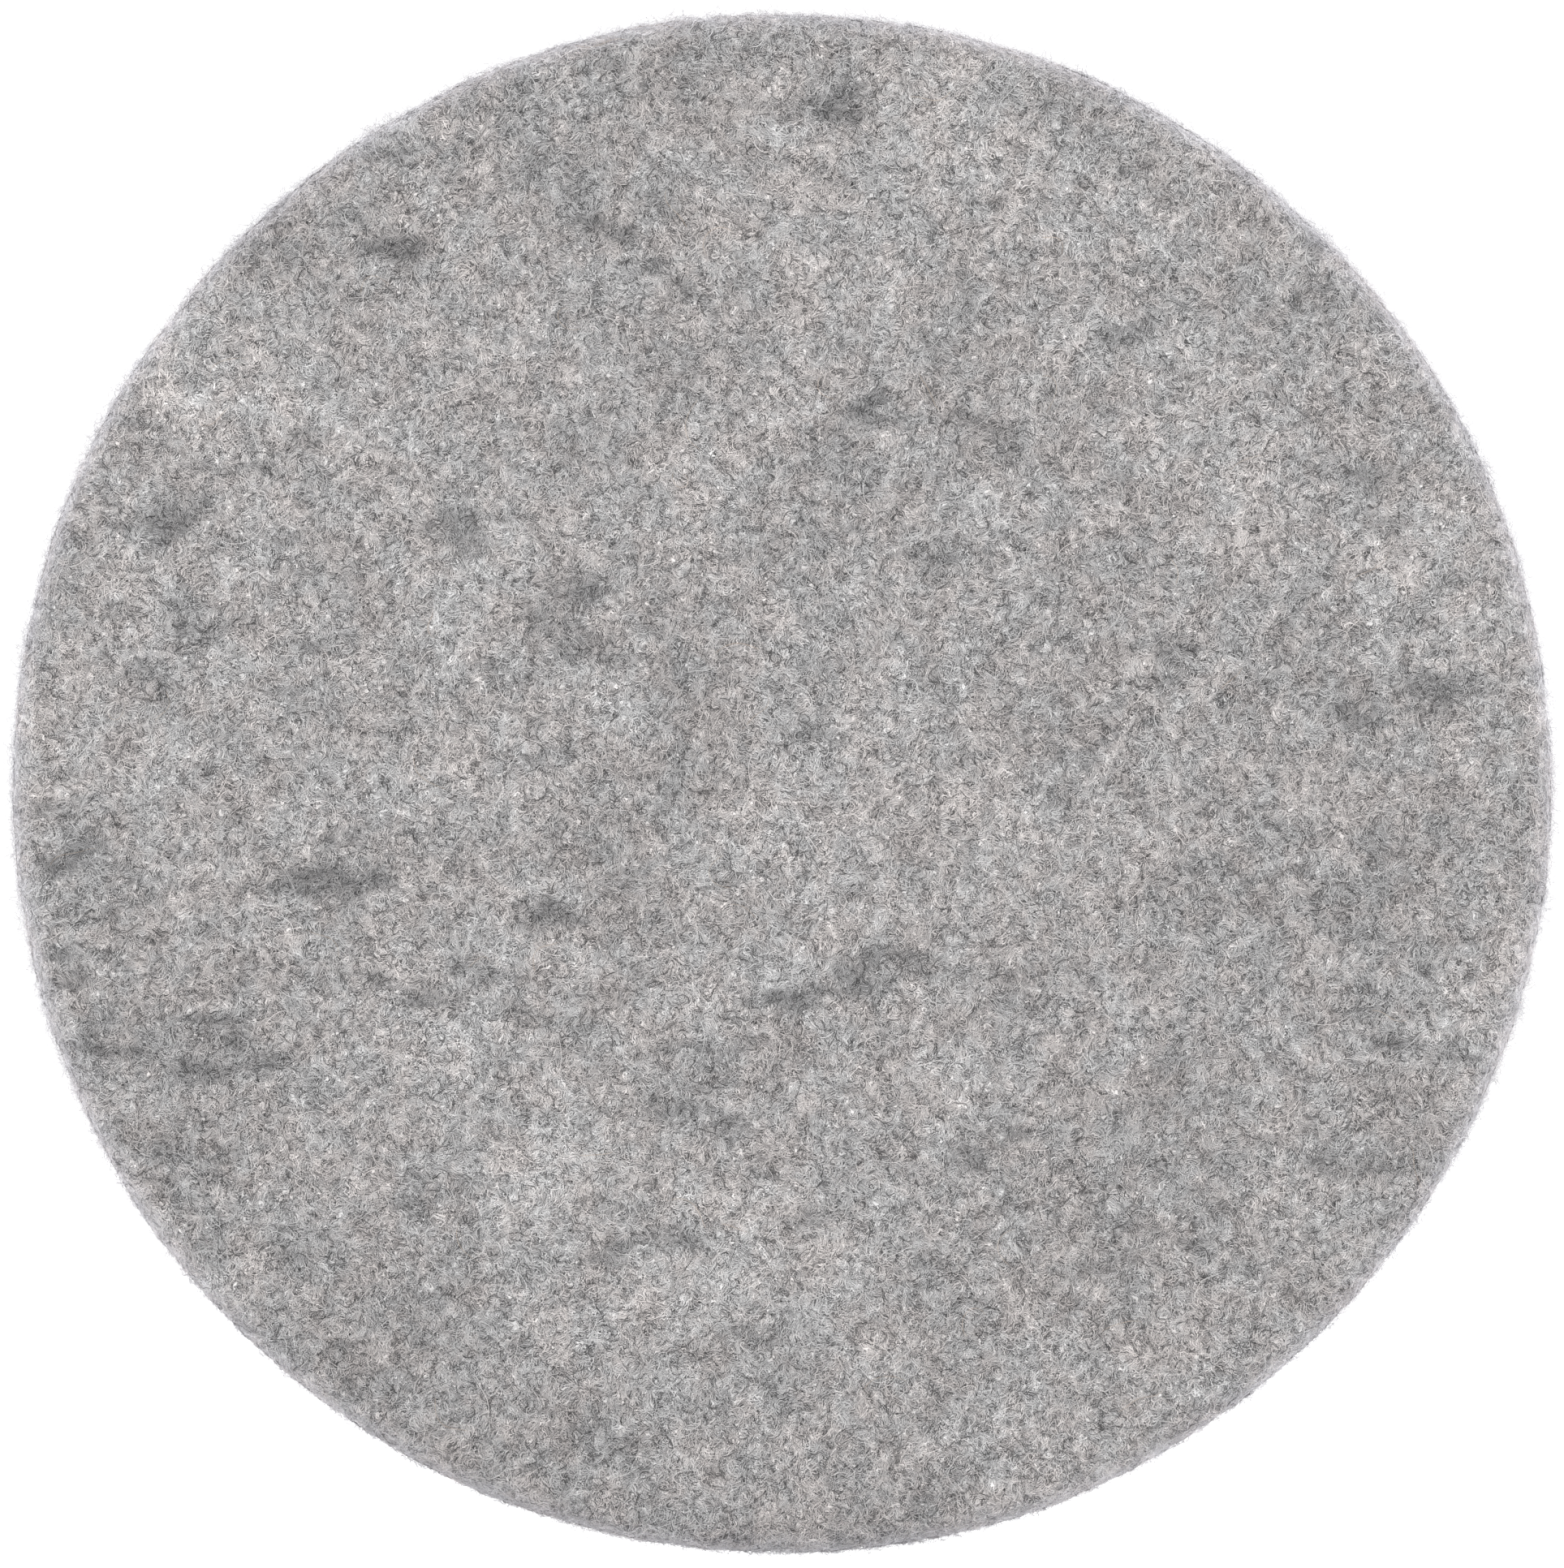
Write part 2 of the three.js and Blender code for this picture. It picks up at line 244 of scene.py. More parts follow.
# %% [markdown]
# ## Wool felt: its clouds
#
# Grey felt is blended from dark and light fleece that never mixes fully, so soft clouds remain. They come
# at several sizes, with a few darker, cooler tufts, and the fleece drifts between a cool and a warm grey.
# The pad and the loose fibres on it read the same clouds, so that the fibres match what lies below them.

# %% Fleece clouds
clouds, given, out = new_group(
    "Fleece clouds",
    [
        ("Vector", "vector", None),
        ("Contrast", "number", 1.0),
    ],
    [("Brightness", "number"), ("Warmth", "number")],
)
CLOUD_SIZES = (
    # clouds per metre, weight, offset
    (14.0, 0.28, 3.1),
    (48.0, 0.46, 7.7),
    (130.0, 0.42, 1.3),
    (400.0, 0.12, 5.9),
)
total = 0.0
for per_metre, weight, offset in CLOUD_SIZES:
    where = vector_of(clouds, "ADD", given["Vector"], (offset, offset, offset))
    noise = add(clouds, "TexNoise", {"Vector": where, "Scale": per_metre, "Detail": 1.5, "Distortion": 0.4})
    level = sum_of(clouds, "SUBTRACT", noise.outputs["Fac"], 0.5)
    total = sum_of(clouds, "MULTIPLY_ADD", level, weight, total)
spread = sum_of(clouds, "MULTIPLY", total, given["Contrast"])
tufts = add(
    clouds,
    "TexNoise",
    {"Vector": vector_of(clouds, "MULTIPLY", given["Vector"], (0.6, 1.0, 1.3)), "Scale": 95.0, "Detail": 3.0},
)
dark_tuft = ramp(clouds, tufts.outputs["Fac"], 0.58, 0.72)
dimmed = sum_of(clouds, "MULTIPLY_ADD", dark_tuft, -0.42, 1.04)
bright = sum_of(clouds, "MULTIPLY", sum_of(clouds, "ADD", spread, 1.0), dimmed)
clouds.links.new(bright, out.inputs["Brightness"])
drift = add(clouds, "TexNoise", {"Vector": given["Vector"], "Scale": 170.0, "Detail": 3.0, "Roughness": 0.7})
warmth = ramp(clouds, drift.outputs["Fac"], 0.34, 0.66)
cooled = sum_of(clouds, "MULTIPLY", warmth, sum_of(clouds, "MULTIPLY_ADD", dark_tuft, -0.6, 1.0))
clouds.links.new(cooled, out.inputs["Warmth"])
print("fleece clouds, nodes:", len(clouds.nodes))

# %% [markdown]
# ## Wool felt: its colours
#
# Grey wool isn't one grey: some of it leans cool and some is faintly warm. One tint for each
# material would be simpler, but the fibres would then look sprinkled on. So one helper mixes two tints by
# the clouds' drift, and the pad and every fibre share it.

# %% Wool colours
COOL_WOOL = tint(172.5, 172, 172)
WARM_WOOL = tint(179, 174, 172)
WOOL_SHEEN = (0.95, 0.93, 1.0, 1.0)


def wool_colour(tree, place_vector, lightness, contrast):
    """The colour of wool: the clouds' drift between cool and warm, times a lightness."""
    cloud = place(tree, clouds, {"Vector": place_vector, "Contrast": contrast})
    hue = mix(tree, cloud["Warmth"], COOL_WOOL, WARM_WOOL)
    level = sum_of(tree, "MULTIPLY", cloud["Brightness"], lightness)
    levels = add(tree, "CombineXYZ", {0: level, 1: level, 2: level}).outputs[0]
    return vector_of(tree, "MULTIPLY", hue, levels)


def new_material(name):
    """An empty node material. Returns it, its tree and its Principled shader."""
    material = bpy.data.materials.new(name)
    material.use_nodes = True
    tree = material.node_tree
    return material, tree, tree.nodes["Principled BSDF"]

# %% [markdown]
# ## Wool felt: the pad's material
#
# Looking down into felt, the eye meets the upper strands, then lower and dimmer ones, then dark gaps.
# Three storeys of strand bundles are laid over each other by keeping whichever is highest, and the lower
# storeys are painted dimmer, as painted shade for their depth. A fourth use of the same group opens the
# gaps. Off the strands and in the gaps the colour is painted dark, as painted shade. The result drives
# colour, roughness and bump together, so a gap is both a dent and a painted shadow. Sheen adds the pale
# bloom that wool has when it is seen at a low angle.

# %% Felt pad material
felt_mat, tree, shader = new_material("matted_wool")
here = add(tree, "TexCoord").outputs["Object"]
skin_plane = add(tree, "Attribute", attribute_name="skin").outputs["Vector"]
STOREYS = (
    # bundles per metre, strands per bundle, bow, wander, thickness, seed, height, brightness (lower storeys
    # painted dimmer, as painted shade)
    (480.0, 9.5, 1.4, 0.7, 0.47, 2.0, 0.55, 0.78),
    (600.0, 8.5, 1.6, 0.8, 0.42, 9.0, 0.75, 0.88),
    (760.0, 7.5, 1.8, 0.8, 0.36, 17.0, 1.00, 1.00),
)
height = None
light = None
for per_metre, strands, bow, wander_by, thickness, seed, top, brightness in STOREYS:
    layer = place(
        tree,
        bundles,
        {
            "Skin": skin_plane,
            "Bundles per metre": per_metre,
            "Strands per bundle": strands,
            "Bow": bow,
            "Wander": wander_by,
            "Thickness": thickness,
            "Seed": seed,
        },
    )
    toned = ramp(tree, layer["Tone"], 0.0, 1.0, 0.64, 1.0)
    strength = sum_of(tree, "MULTIPLY", layer["Strand"], toned)
    raised = sum_of(tree, "MULTIPLY", strength, top)
    # Each storey's brightness paints the lower strands dimmer: painted shade for their depth in the mat.
    lit = sum_of(tree, "MULTIPLY", strength, brightness)
    height = raised if height is None else sum_of(tree, "MAXIMUM", height, raised)
    light = lit if light is None else sum_of(tree, "MAXIMUM", light, lit)

# %% Felt pad material: gaps and finish
# The lightness between strands and in the gaps is painted shade; the gap depth sets both the dent and how
# dark that painted shade is.
GAP_PAINTED_SHADE = 0.12
STRAND_LIGHTNESS = 1.66
GAP_DEPTH_AND_SHADE = 0.95
gaps = place(
    tree,
    bundles,
    {
        "Skin": skin_plane,
        "Bundles per metre": 1150.0,
        "Strands per bundle": 3.6,
        "Bow": 1.0,
        "Wander": 0.6,
        "Thickness": 0.36,
        "Seed": 31.0,
    },
)
gap = sum_of(tree, "MULTIPLY", gaps["Strand"], ramp(tree, gaps["Tone"], 0.30, 0.65))
dent_and_painted_shade = sum_of(tree, "MULTIPLY_ADD", gap, -GAP_DEPTH_AND_SHADE, 1.0)
# Off the strands and in the gaps the colour falls to painted shade.
lightness = sum_of(tree, "MULTIPLY", ramp(tree, light, 0.0, 1.0, GAP_PAINTED_SHADE, STRAND_LIGHTNESS), dent_and_painted_shade)
height = sum_of(tree, "MULTIPLY", height, dent_and_painted_shade)
tree.links.new(wool_colour(tree, here, lightness, 1.0), shader.inputs["Base Color"])
bump = add(tree, "Bump", {"Height": height, "Strength": 0.6, "Distance": 0.12 * MM})
tree.links.new(bump.outputs[0], shader.inputs["Normal"])
tree.links.new(ramp(tree, light, 0.0, 1.0, 1.0, 0.85), shader.inputs["Roughness"])
shader.inputs["Specular IOR Level"].default_value = 0.15
shader.inputs["Sheen Weight"].default_value = 1.0
shader.inputs["Sheen Roughness"].default_value = 0.5
shader.inputs["Sheen Tint"].default_value = WOOL_SHEEN
print("felt pad material, nodes:", len(tree.nodes))

# %% [markdown]
# ## The felt pad
#
# The pad is a soft disc with rounded edges. A lathed profile gives its shape, a voxel remesh gives it an
# even skin of small faces, and slow random ripples push that skin in and out by tenths of a millimetre,
# as pressed felt is never quite flat. The same profile and ripples place the loose fibres afterwards.

# %% Felt profile
FACE_ROUND = 4.0 * MM
REAR_ROUND = 2.5 * MM
felt_front, felt_rear = felt_low.y, felt_high.y
flat_length = wheel_radius - FACE_ROUND
face_arc = math.pi / 2 * FACE_ROUND
side_length = (felt_rear - felt_front) - FACE_ROUND - REAR_ROUND
rear_arc = math.pi / 2 * REAR_ROUND


def on_felt(distance, angle):
    """Points and outward normals on the felt's skin. Distance runs along the skin from the face's middle."""
    on_arc = np.clip((distance - flat_length) / FACE_ROUND, 0, math.pi / 2)
    on_side = np.clip(distance - flat_length - face_arc, 0, side_length)
    on_rear = np.clip((distance - flat_length - face_arc - side_length) / REAR_ROUND, 0, math.pi / 2)
    inward = np.clip(distance - flat_length - face_arc - side_length - rear_arc, 0, None)
    radius = np.minimum(distance, flat_length) + FACE_ROUND * np.sin(on_arc)
    radius -= REAR_ROUND * (1 - np.cos(on_rear)) + inward
    along = felt_front + FACE_ROUND * (1 - np.cos(on_arc)) + on_side + REAR_ROUND * np.sin(on_rear)
    lean = on_arc + on_rear
    out_radius, out_along = np.sin(lean), -np.cos(lean)
    points = np.stack([radius * np.cos(angle), along, radius * np.sin(angle)], -1)
    normals = np.stack([out_radius * np.cos(angle), out_along, out_radius * np.sin(angle)], -1)
    return points, normals


def ripples(points, wavelength, seed, waves=24):
    """A smooth random height of about -1 to 1, as the sum of many plane waves near one wavelength."""
    rng = np.random.default_rng(seed)
    directions = rng.normal(size=(waves, 3))
    directions /= np.linalg.norm(directions, axis=1)[:, None]
    lengths = wavelength * rng.uniform(0.7, 1.5, waves)
    starts = rng.uniform(0, 2 * math.pi, waves)
    phase = points @ (2 * math.pi * directions / lengths[:, None]).T + starts
    return np.sin(phase).sum(-1) / math.sqrt(waves)


def felt_swell(points):
    """How far the felt stands in or out of its plain profile."""
    return MM * (
        0.05 * ripples(points, 3.5 * MM, 11)
        + 0.08 * ripples(points, 11 * MM, 12)
        + 0.10 * ripples(points, 45 * MM, 13)
    )

# %% [markdown]
# ## Helpers for meshes
#
# Nearly every part of this wheel is round, so one helper turns a profile into a closed mesh. Blender's
# Screw modifier could do that too, but this helper also takes a radius that changes with the angle, and
# that later makes threads, hexagons and sockets in the same way.


# %% Mesh helpers
def new_piece(name, mesh, material, body, replaced=(), at=None):
    """Links a mesh as a piece, at a place, that rides on a body and stands for CAD nodes."""
    piece = bpy.data.objects.new(name, mesh)
    scene.collection.objects.link(piece)
    if at is not None:
        piece.matrix_world = at
    mesh.materials.clear()
    mesh.materials.append(material)
    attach(piece, body)
    if replaced:
        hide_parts(*replaced)
    return piece


def turned_mesh(name, profile, segments, gap=0.0):
    """A closed mesh turned about Y from (radius, y) points.

    A radius or a y may also be a function of the angle. A radius of 0 becomes a single vertex. With a gap,
    the ring is split at angle 0 and its two ends are that far apart.
    """
    mesh = bpy.data.meshes.new(name)
    build = bmesh.new()
    rings = []
    for radius, along in profile:
        if not callable(radius) and radius < 1e-9:
            rings.append([build.verts.new((0, along, 0))] * segments)
            continue
        margin = math.asin(gap / 2 / radius) if gap else 0.0
        share = segments - 1 if gap else segments
        ring = []
        for i in range(segments):
            a = margin + (2 * math.pi - 2 * margin) * i / share
            reach = radius(a) if callable(radius) else radius
            station = along(a) if callable(along) else along
            ring.append(build.verts.new((reach * math.cos(a), station, reach * math.sin(a))))
        rings.append(ring)
    for low, high in zip(rings, rings[1:] + rings[:1]):
        for i in range(segments - 1 if gap else segments):
            j = (i + 1) % segments
            corners = list(dict.fromkeys([low[i], low[j], high[j], high[i]]))
            if len(corners) > 2:
                build.faces.new(corners)
    if gap:
        build.faces.new([ring[0] for ring in rings])
        build.faces.new([ring[-1] for ring in rings])
    bmesh.ops.recalc_face_normals(build, faces=build.faces)
    build.to_mesh(mesh)
    build.free()
    return mesh


def arc_points(centre, radius, start, stop, steps):
    """(radius, y) points on an arc. Angles in degrees, 0 outwards and 90 to the rear."""
    angles = [math.radians(start + (stop - start) * i / steps) for i in range(steps + 1)]
    return [(centre[0] + radius * math.cos(a), centre[1] + radius * math.sin(a)) for a in angles]


def places_of(mesh):
    """A mesh's vertices as an array of points."""
    flat = np.empty(len(mesh.vertices) * 3)
    mesh.vertices.foreach_get("co", flat)
    return flat.reshape(-1, 3)

# %% [markdown]
# ## The felt pad's skin
#
# The ripples have to push the rim outwards and the face forwards. Pushing along the mesh's own normals
# would do it, but they are noisy on a remeshed skin, so the direction is worked out from each point's
# place and turns smoothly from one to the other. Each point also keeps its place on the unrolled skin,
# which the strand pattern reads. An attribute is used for that, and not a UV map, because it has no seam.

# %% Felt pad
FELT_VOXEL = 0.9 * MM
RIM_REACH = 6 * MM  # the ripples start to push outwards this far in from the rim
FACE_REACH = 5 * MM  # and stop pushing forwards this far behind the face
face_centre = (wheel_radius - FACE_ROUND, felt_front + FACE_ROUND)
rear_centre = (wheel_radius - REAR_ROUND, felt_rear - REAR_ROUND)
pad_profile = [(0, felt_front)]
pad_profile += arc_points(face_centre, FACE_ROUND, -90, 0, 12)
pad_profile += arc_points(rear_centre, REAR_ROUND, 0, 90, 8)
pad_profile += [(0, felt_rear)]
pad_mesh = turned_mesh("felt", pad_profile, 360)
felt = new_piece("felt", pad_mesh, felt_mat, "wheel", ["felt_pad"])
remesh = felt.modifiers.new("even skin", "REMESH")
remesh.mode = "VOXEL"
remesh.voxel_size = FELT_VOXEL
even = bpy.data.meshes.new_from_object(felt.evaluated_get(bpy.context.evaluated_depsgraph_get()))
felt.modifiers.clear()
felt.data = even
even.materials.clear()
even.materials.append(felt_mat)

# %% Felt pad: its swell
skin = places_of(even)
radius = np.hypot(skin[:, 0], skin[:, 2])
across = np.clip((radius - (wheel_radius - RIM_REACH)) / RIM_REACH, 0, 1)
safe_radius = np.maximum(radius, 1e-6)
outward = np.stack([skin[:, 0] / safe_radius, radius * 0, skin[:, 2] / safe_radius], -1)
facing = np.clip((felt_front + FACE_REACH - skin[:, 1]) / FACE_REACH, 0, 1)
push = outward * across[:, None] + np.array([0, -1, 0]) * facing[:, None]
push /= np.maximum(np.linalg.norm(push, axis=1), 1)[:, None]
swell = felt_swell(skin)
skin = skin + push * swell[:, None]
print("felt stands in or out by up to, mm:", round(float(np.abs(swell).max() / MM), 2))

# %% Felt pad: the unrolled skin
along_skin = np.where(radius < flat_length, radius, 0)
depth_in = np.clip(skin[:, 1] - felt_front, 0, None)
lean = np.arctan2(radius - flat_length, np.maximum(FACE_ROUND - depth_in, 1e-6))
on_round = (radius >= flat_length) & (depth_in < FACE_ROUND)
on_wall = (radius >= flat_length) & (depth_in >= FACE_ROUND)
along_skin = np.where(on_round, flat_length + FACE_ROUND * lean, along_skin)
along_skin = np.where(on_wall, flat_length + face_arc + depth_in - FACE_ROUND, along_skin)
unrolled = along_skin / safe_radius
skin_map = np.stack([skin[:, 0] * unrolled, skin[:, 2] * unrolled, radius * 0], -1)
even.attributes.new("skin", "FLOAT_VECTOR", "POINT").data.foreach_set("vector", skin_map.ravel())
even.vertices.foreach_set("co", skin.ravel())
even.shade_smooth()
even.update()
print("felt faces:", len(even.polygons))

# %% [markdown]
# ## Loose fibres
#
# What makes felt read as felt is the nap: real fibres that stand off the skin, curl over each other and
# soften the rim. Each one is a thin closed tube along an arc. All of them are worked out at once, as
# arrays, in the unrolled plane of the skin, and then laid on the pad by its own profile.


# %% Fibres
FIBRE_SIDES = 3


def lay_out(mesh, count, steps):
    """Gives a mesh of tubes a flat layout: a square grid with one cell for each tube, unrolled."""
    columns = math.ceil(math.sqrt(count))
    index = np.arange(count)
    corner = np.stack([index % columns, index // columns], -1) + 0.1
    step = np.arange(steps - 1)[:, None]
    ring = np.arange(FIBRE_SIDES)[None, :]
    across = np.stack([ring, ring + 1, ring + 1, ring], -1) / FIBRE_SIDES
    ahead = np.stack([step, step, step + 1, step + 1], -1) / (steps - 1)
    quad = np.stack(np.broadcast_arrays(ahead, across), -1).reshape(1, -1, 2)
    tube_cells = (corner[:, None] + 0.8 * quad) / columns
    cap = np.array([[0.0, 0.0], [0.04, 0.5], [0.0, 1.0]])
    cap_cells = (corner[:, None] + 0.8 * cap[None]) / columns
    layout = np.concatenate([tube_cells.reshape(-1, 2), cap_cells.reshape(-1, 2), cap_cells.reshape(-1, 2)])
    layer = mesh.uv_layers.new(name="OFBake")
    layer.uv.foreach_set("vector", layout.ravel().astype(np.float32))


def tubes(name, lines, thickness, shades):
    """One mesh of thin tapered tubes along many centrelines, with each tube's shade as an attribute."""
    count, steps, _ = lines.shape
    ahead = np.gradient(lines, axis=1)
    ahead /= np.maximum(np.linalg.norm(ahead, axis=2), 1e-9)[..., None]
    _, normals = on_felt(np.hypot(lines[:, :, 0], lines[:, :, 2]), np.arctan2(lines[:, :, 2], lines[:, :, 0]))
    side = np.cross(ahead, normals)
    side /= np.maximum(np.linalg.norm(side, axis=2), 1e-9)[..., None]
    up = np.cross(side, ahead)
    taper = 0.35 + 0.65 * np.sin(np.linspace(0.12, math.pi - 0.12, steps)) ** 0.6
    size = thickness[:, None] * taper[None, :] / 2
    corners = []
    for k in range(FIBRE_SIDES):
        a = 2 * math.pi * (k + 0.25) / FIBRE_SIDES
        corners.append(lines + size[..., None] * (math.cos(a) * side + math.sin(a) * up))
    points = np.stack(corners, 2).reshape(-1, 3)
    ring = np.arange(FIBRE_SIDES)
    step = np.arange(steps - 1)
    base = (np.arange(count) * steps * FIBRE_SIDES)[:, None, None]
    low = base + step[None, :, None] * FIBRE_SIDES + ring[None, None, :]
    low_next = base + step[None, :, None] * FIBRE_SIDES + ((ring + 1) % FIBRE_SIDES)[None, None, :]
    quads = np.stack([low, low_next, low_next + FIBRE_SIDES, low + FIBRE_SIDES], -1).reshape(-1, 4)
    first = base[:, 0, :] + ring[::-1][None, :]
    last = base[:, 0, :] + (steps - 1) * FIBRE_SIDES + ring[None, :]
    caps = np.concatenate([first, last])
    mesh = bpy.data.meshes.new(name)
    mesh.vertices.add(len(points))
    mesh.vertices.foreach_set("co", points.ravel())
    mesh.loops.add(quads.size + caps.size)
    mesh.loops.foreach_set("vertex_index", np.concatenate([quads.ravel(), caps.ravel()]).astype(np.int32))
    mesh.polygons.add(len(quads) + len(caps))
    starts = np.concatenate([np.arange(len(quads)) * 4, quads.size + np.arange(len(caps)) * 3])
    mesh.polygons.foreach_set("loop_start", starts.astype(np.int32))
    mesh.update(calc_edges=True)
    mesh.validate()
    mesh.shade_smooth()
    lay_out(mesh, count, steps)
    attribute = mesh.attributes.new("shade", "FLOAT", "POINT")
    attribute.data.foreach_set("value", np.repeat(shades, steps * FIBRE_SIDES).astype(np.float32))
    return mesh


def lay_fibres(rng, distance, angle, length, curl_radius, lift, steps, stand=0.0):
    """Centrelines of fibres that start at points of the skin and curl over it, both ends tucked in."""
    count = len(distance)
    start = np.stack([distance * np.cos(angle), distance * np.sin(angle)], -1)
    heading = rng.uniform(0, 2 * math.pi, count)
    turn = rng.choice([-1.0, 1.0], count) / curl_radius
    swing = rng.uniform(-0.6, 0.6, count)
    along = np.linspace(0, 1, steps)
    bearing = heading[:, None] + turn[:, None] * length[:, None] * along
    bearing += swing[:, None] * np.sin(2 * math.pi * along + rng.uniform(0, 6.3, count)[:, None])
    hop = length[:, None] / (steps - 1)
    flat_x = start[:, :1] + np.cumsum(np.cos(bearing) * hop, 1)
    flat_z = start[:, 1:] + np.cumsum(np.sin(bearing) * hop, 1)
    points, normals = on_felt(np.hypot(flat_x, flat_z), np.arctan2(flat_z, flat_x))
    bow = np.sin(math.pi * along) - 0.25
    wobble = 0.35 * np.sin(2 * math.pi * along * 1.7 + rng.uniform(0, 6.3, count)[:, None])
    height = lift[:, None] * (bow + wobble) + np.multiply.outer(stand * lift, along**2)
    height += felt_swell(points)
    return points + normals * height[..., None]

# %% [markdown]
# ## Loose fibres: their material
#
# A loose fibre takes its tone from the fleece below it and a shade of its own. A material for each shade
# would be clumsy, so the shade is kept on the mesh as an attribute and one material serves tens of
# thousands of fibres. Rim hairs and tan hairs differ only in their range and hue. The tan hue is the hairs'
# own colour; the rim hairs' paler range and pale lavender hue are painted backlight, the glow of light
# through fine hairs at the edge.


# %% Fibre materials
def loose_wool(name, dark, light, hue=None):
    """A fibre's material: its own shade, times the clouds it lies on, with an optional hue mixed in. The tan
    hue is the hairs' own colour; the rim hue is painted backlight.
    """
    material, tree, shader = new_material(name)
    here = add(tree, "TexCoord").outputs["Object"]
    shade = add(tree, "Attribute", attribute_name="shade").outputs["Fac"]
    colour = wool_colour(tree, here, ramp(tree, shade, 0.0, 1.0, dark, light), 0.9)
    if hue is not None:
        colour = mix(tree, 0.5, colour, hue)
    tree.links.new(colour, shader.inputs["Base Color"])
    shader.inputs["Roughness"].default_value = 0.8
    shader.inputs["Specular IOR Level"].default_value = 0.25
    shader.inputs["Sheen Weight"].default_value = 0.5
    shader.inputs["Sheen Roughness"].default_value = 0.45
    shader.inputs["Sheen Tint"].default_value = WOOL_SHEEN
    return material


nap_mat = loose_wool("loose_wool", 0.10, 1.66)
# The rim hairs' paler range and pale lavender hue are painted backlight: the glow of light through the fine
# hairs at the edge.
rim_backlit_mat = loose_wool("rim_wool_painted_backlight", 0.5, 2.2, tint(214, 213, 220))
tan_mat = loose_wool("tan_wool", 0.6, 1.2, tint(168, 142, 112))

# %% [markdown]
# ## The nap
#
# The nap is short wool that has worked loose all over the skin, part of it from the dark fleece. Particle
# hair is quick to set up, but it is drawn as curves, and tubes are real faces that any program can read.
# The square root of an even random number spreads them evenly over a round face. They are dealt out to
# nine pieces, so that no piece is too heavy to handle.

# %% Nap
NAP_COUNT = 56000
NAP_PIECES = 9
NAP_STEPS = 6
DARK_SHARE = 0.27  # of the fibres come from the dark fleece
rng = np.random.default_rng(2024)
REAR_NAP = 2.6 * MM  # how far the nap runs in over the pad's rear face
nap_reach = flat_length + face_arc + side_length + rear_arc + REAR_NAP
distance = nap_reach * np.sqrt(rng.uniform(0, 1, NAP_COUNT))
angle = rng.uniform(0, 2 * math.pi, NAP_COUNT)
length = MM * rng.uniform(1.2, 3.2, NAP_COUNT)
curl_radius = np.maximum(MM * np.exp(rng.normal(math.log(1.2), 0.5, NAP_COUNT)), length / 4)
lift = MM * rng.uniform(0.05, 0.20, NAP_COUNT)
nap_lines = lay_fibres(rng, distance, angle, length, curl_radius, lift, NAP_STEPS)
nap_size = MM * rng.uniform(0.05, 0.095, NAP_COUNT)
is_dark = rng.uniform(0, 1, NAP_COUNT) < DARK_SHARE
nap_shade = np.where(is_dark, rng.normal(0.12, 0.08, NAP_COUNT), rng.normal(0.66, 0.13, NAP_COUNT))
nap_shade = np.clip(nap_shade, 0, 1)
for part in range(NAP_PIECES):
    chosen = slice(part, None, NAP_PIECES)
    name = f"nap_{part + 1}"
    mesh = tubes(name, nap_lines[chosen], nap_size[chosen], nap_shade[chosen])
    new_piece(name, mesh, nap_mat, "wheel")
print("nap fibres:", NAP_COUNT, "faces in the last piece:", len(mesh.polygons))

# %% [markdown]
# ## Long hairs
#
# A few coarse hairs lie over the nap, most of them pale and some tan. They use the same helpers, with
# more steps along each, because a long curve would otherwise show its corners.

# %% Long hairs
HAIR_COUNT = 420
TAN_COUNT = 46
HAIR_STEPS = 16
rng = np.random.default_rng(5)
hair_kinds = (
    # name, material, how many, thickness in mm
    ("long_hairs", nap_mat, HAIR_COUNT, 0.085),
    ("tan_hairs", tan_mat, TAN_COUNT, 0.09),
)
for name, material, count, thick in hair_kinds:
    distance = (flat_length + face_arc) * np.sqrt(rng.uniform(0, 1, count))
    angle = rng.uniform(0, 2 * math.pi, count)
    length = MM * rng.uniform(4.0, 9.0, count)
    curl_radius = MM * np.exp(rng.normal(math.log(5.0), 0.6, count))
    lift = MM * rng.uniform(0.10, 0.30, count)
    lines = lay_fibres(rng, distance, angle, length, curl_radius, lift, HAIR_STEPS)
    shades = np.clip(rng.normal(0.85, 0.12, count), 0, 1)
    mesh = tubes(name, lines, MM * rng.uniform(0.6 * thick, thick, count), shades)
    new_piece(name, mesh, material, "wheel")
print("long hairs:", HAIR_COUNT + TAN_COUNT)

# %% [markdown]
# ## Rim fuzz
#
# Round the edge nothing presses the wool down, so it stands off in tufts and softens the outline. Most of
# it lies low and a little stands proud, which a log-normal spread gives. The lift has an upper limit, so
# that no hair strays far from the pad.

# %% Rim fuzz
FUZZ_COUNT = 17000
FUZZ_PIECES = 3
rng = np.random.default_rng(77)
distance = flat_length + (face_arc + side_length) * rng.uniform(0.30, 1.0, FUZZ_COUNT)
angle = rng.uniform(0, 2 * math.pi, FUZZ_COUNT)
length = MM * rng.uniform(0.9, 2.6, FUZZ_COUNT)
curl_radius = np.maximum(MM * np.exp(rng.normal(math.log(1.8), 0.5, FUZZ_COUNT)), length / 4)
places, _ = on_felt(distance, angle)
tufty = 1 + 0.9 * np.clip(ripples(places, 7 * MM, 41), 0, None)  # tufts, where the nap was pulled about
lift = MM * np.minimum(0.21 * np.exp(rng.normal(0, 0.60, FUZZ_COUNT)) * tufty, 0.9)
fuzz_lines = lay_fibres(rng, distance, angle, length * tufty**0.4, curl_radius, lift, NAP_STEPS, stand=2.0)
fuzz_size = MM * rng.uniform(0.03, 0.06, FUZZ_COUNT)
fuzz_shade = np.clip(rng.normal(0.5, 0.32, FUZZ_COUNT), 0, 1)
